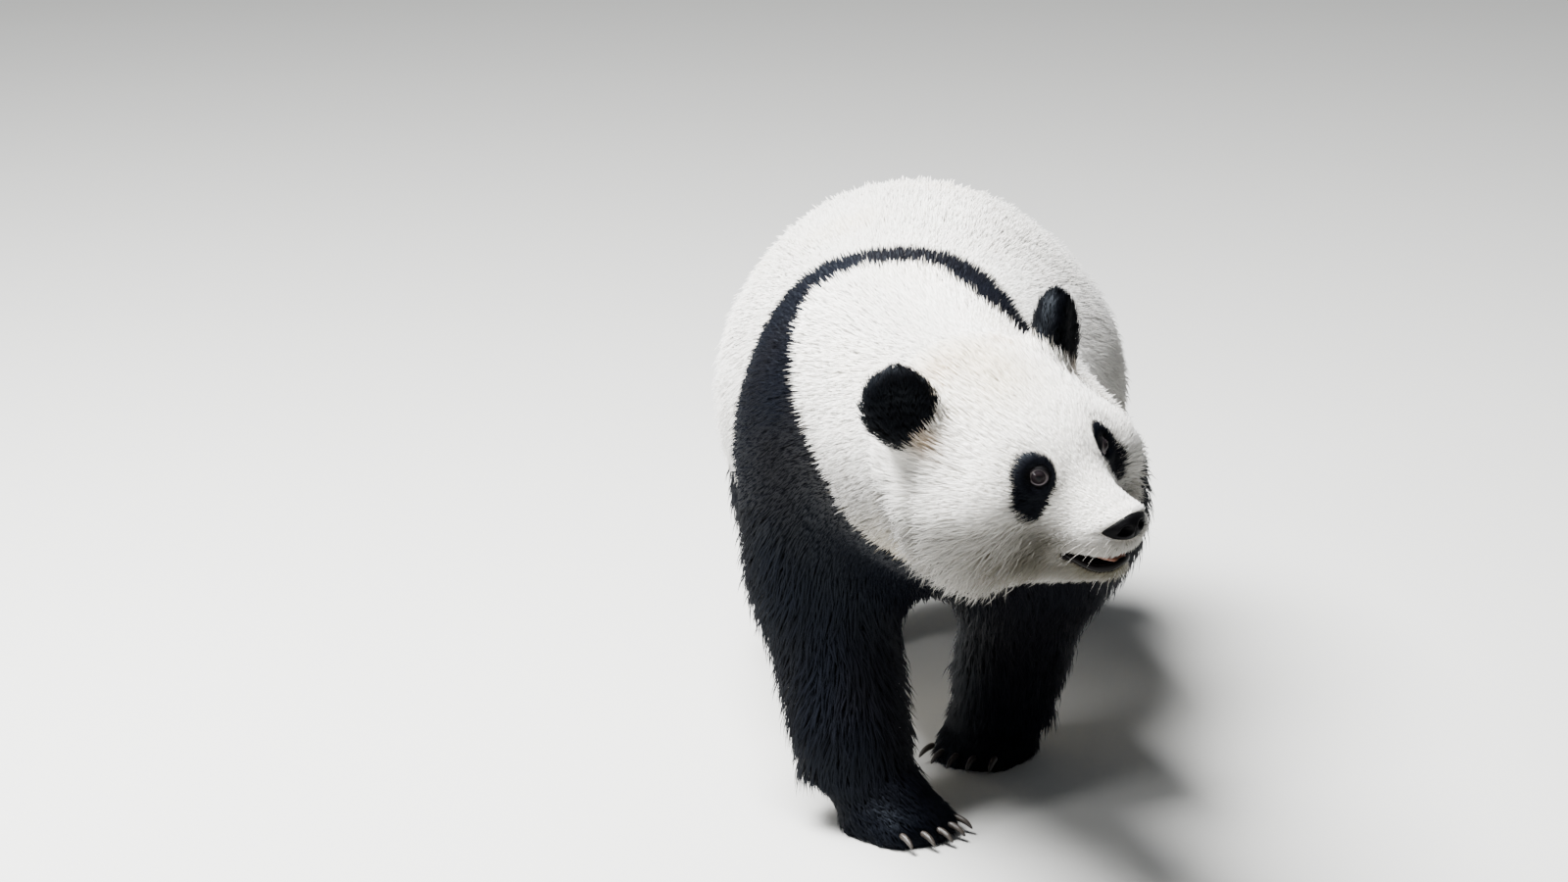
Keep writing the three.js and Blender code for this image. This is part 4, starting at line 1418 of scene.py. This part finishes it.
def soft_light(name, at, size, power, target=(0, 0, 0.4)):
    """A square lamp that looks at the animal; its place is in metres from the floor's middle."""
    lamp = bpy.data.lights.new(name, "AREA")
    lamp.size = size
    lamp.energy = power
    light = bpy.data.objects.new(name, lamp)
    bpy.context.scene.collection.objects.link(light)
    light.location = at
    light.rotation_euler = (Vector(target) - Vector(at)).to_track_quat("-Z", "Y").to_euler()


FLOOR_HALF = 20.0
corners = np.array([[-1, -1, 0], [1, -1, 0], [1, 1, 0], [-1, 1, 0]]) * FLOOR_HALF
floor = mesh_object("floor", corners, np.array([[0, 1, 2, 3]]))
floor.data.materials.append(plain("studio floor", (0.48, 0.48, 0.465), 0.8))

world = bpy.data.worlds.new("studio")
bpy.context.scene.world = world
world.use_nodes = True
world.node_tree.nodes["Background"].inputs["Color"].default_value = (0.84, 0.88, 0.93, 1)
world.node_tree.nodes["Background"].inputs["Strength"].default_value = 0.24
soft_light("sky", (-1.3, -0.4, 3.8), 2.2, 1500)
soft_light("side", (-3.2, -2.4, 2.2), 0.8, 90)

# The camera stands 7 m off, a little to the animal's left, and looks down at it. AIM is a place on
# the withers; the camera stands BESIDE and BELOW the line to it, in metres, so that it shows to
# the right of the view's middle and above it.
AIM = BODY_ORIGIN + np.array([0, 0.030, 0.720])
AZIMUTH, ELEVATION, DISTANCE = math.radians(4), math.radians(15.5), 7.0
BESIDE, BELOW = 0.142, 0.2444
back = np.array([math.sin(AZIMUTH), -math.cos(AZIMUTH), math.tan(ELEVATION)]) * math.cos(ELEVATION)
right = np.array([math.cos(AZIMUTH), math.sin(AZIMUTH), 0])
up = np.cross(back, right)
place = AIM + back * DISTANCE - right * BESIDE - up * BELOW
lens = bpy.data.cameras.new("camera")
lens.sensor_width = 36
lens.lens = 127.6
lens.clip_end = 100
camera = bpy.data.objects.new("camera", lens)
bpy.context.scene.collection.objects.link(camera)
camera.matrix_world = Matrix([*np.column_stack([right, up, back, place]).tolist(), [0, 0, 0, 1]])
bpy.context.scene.camera = camera
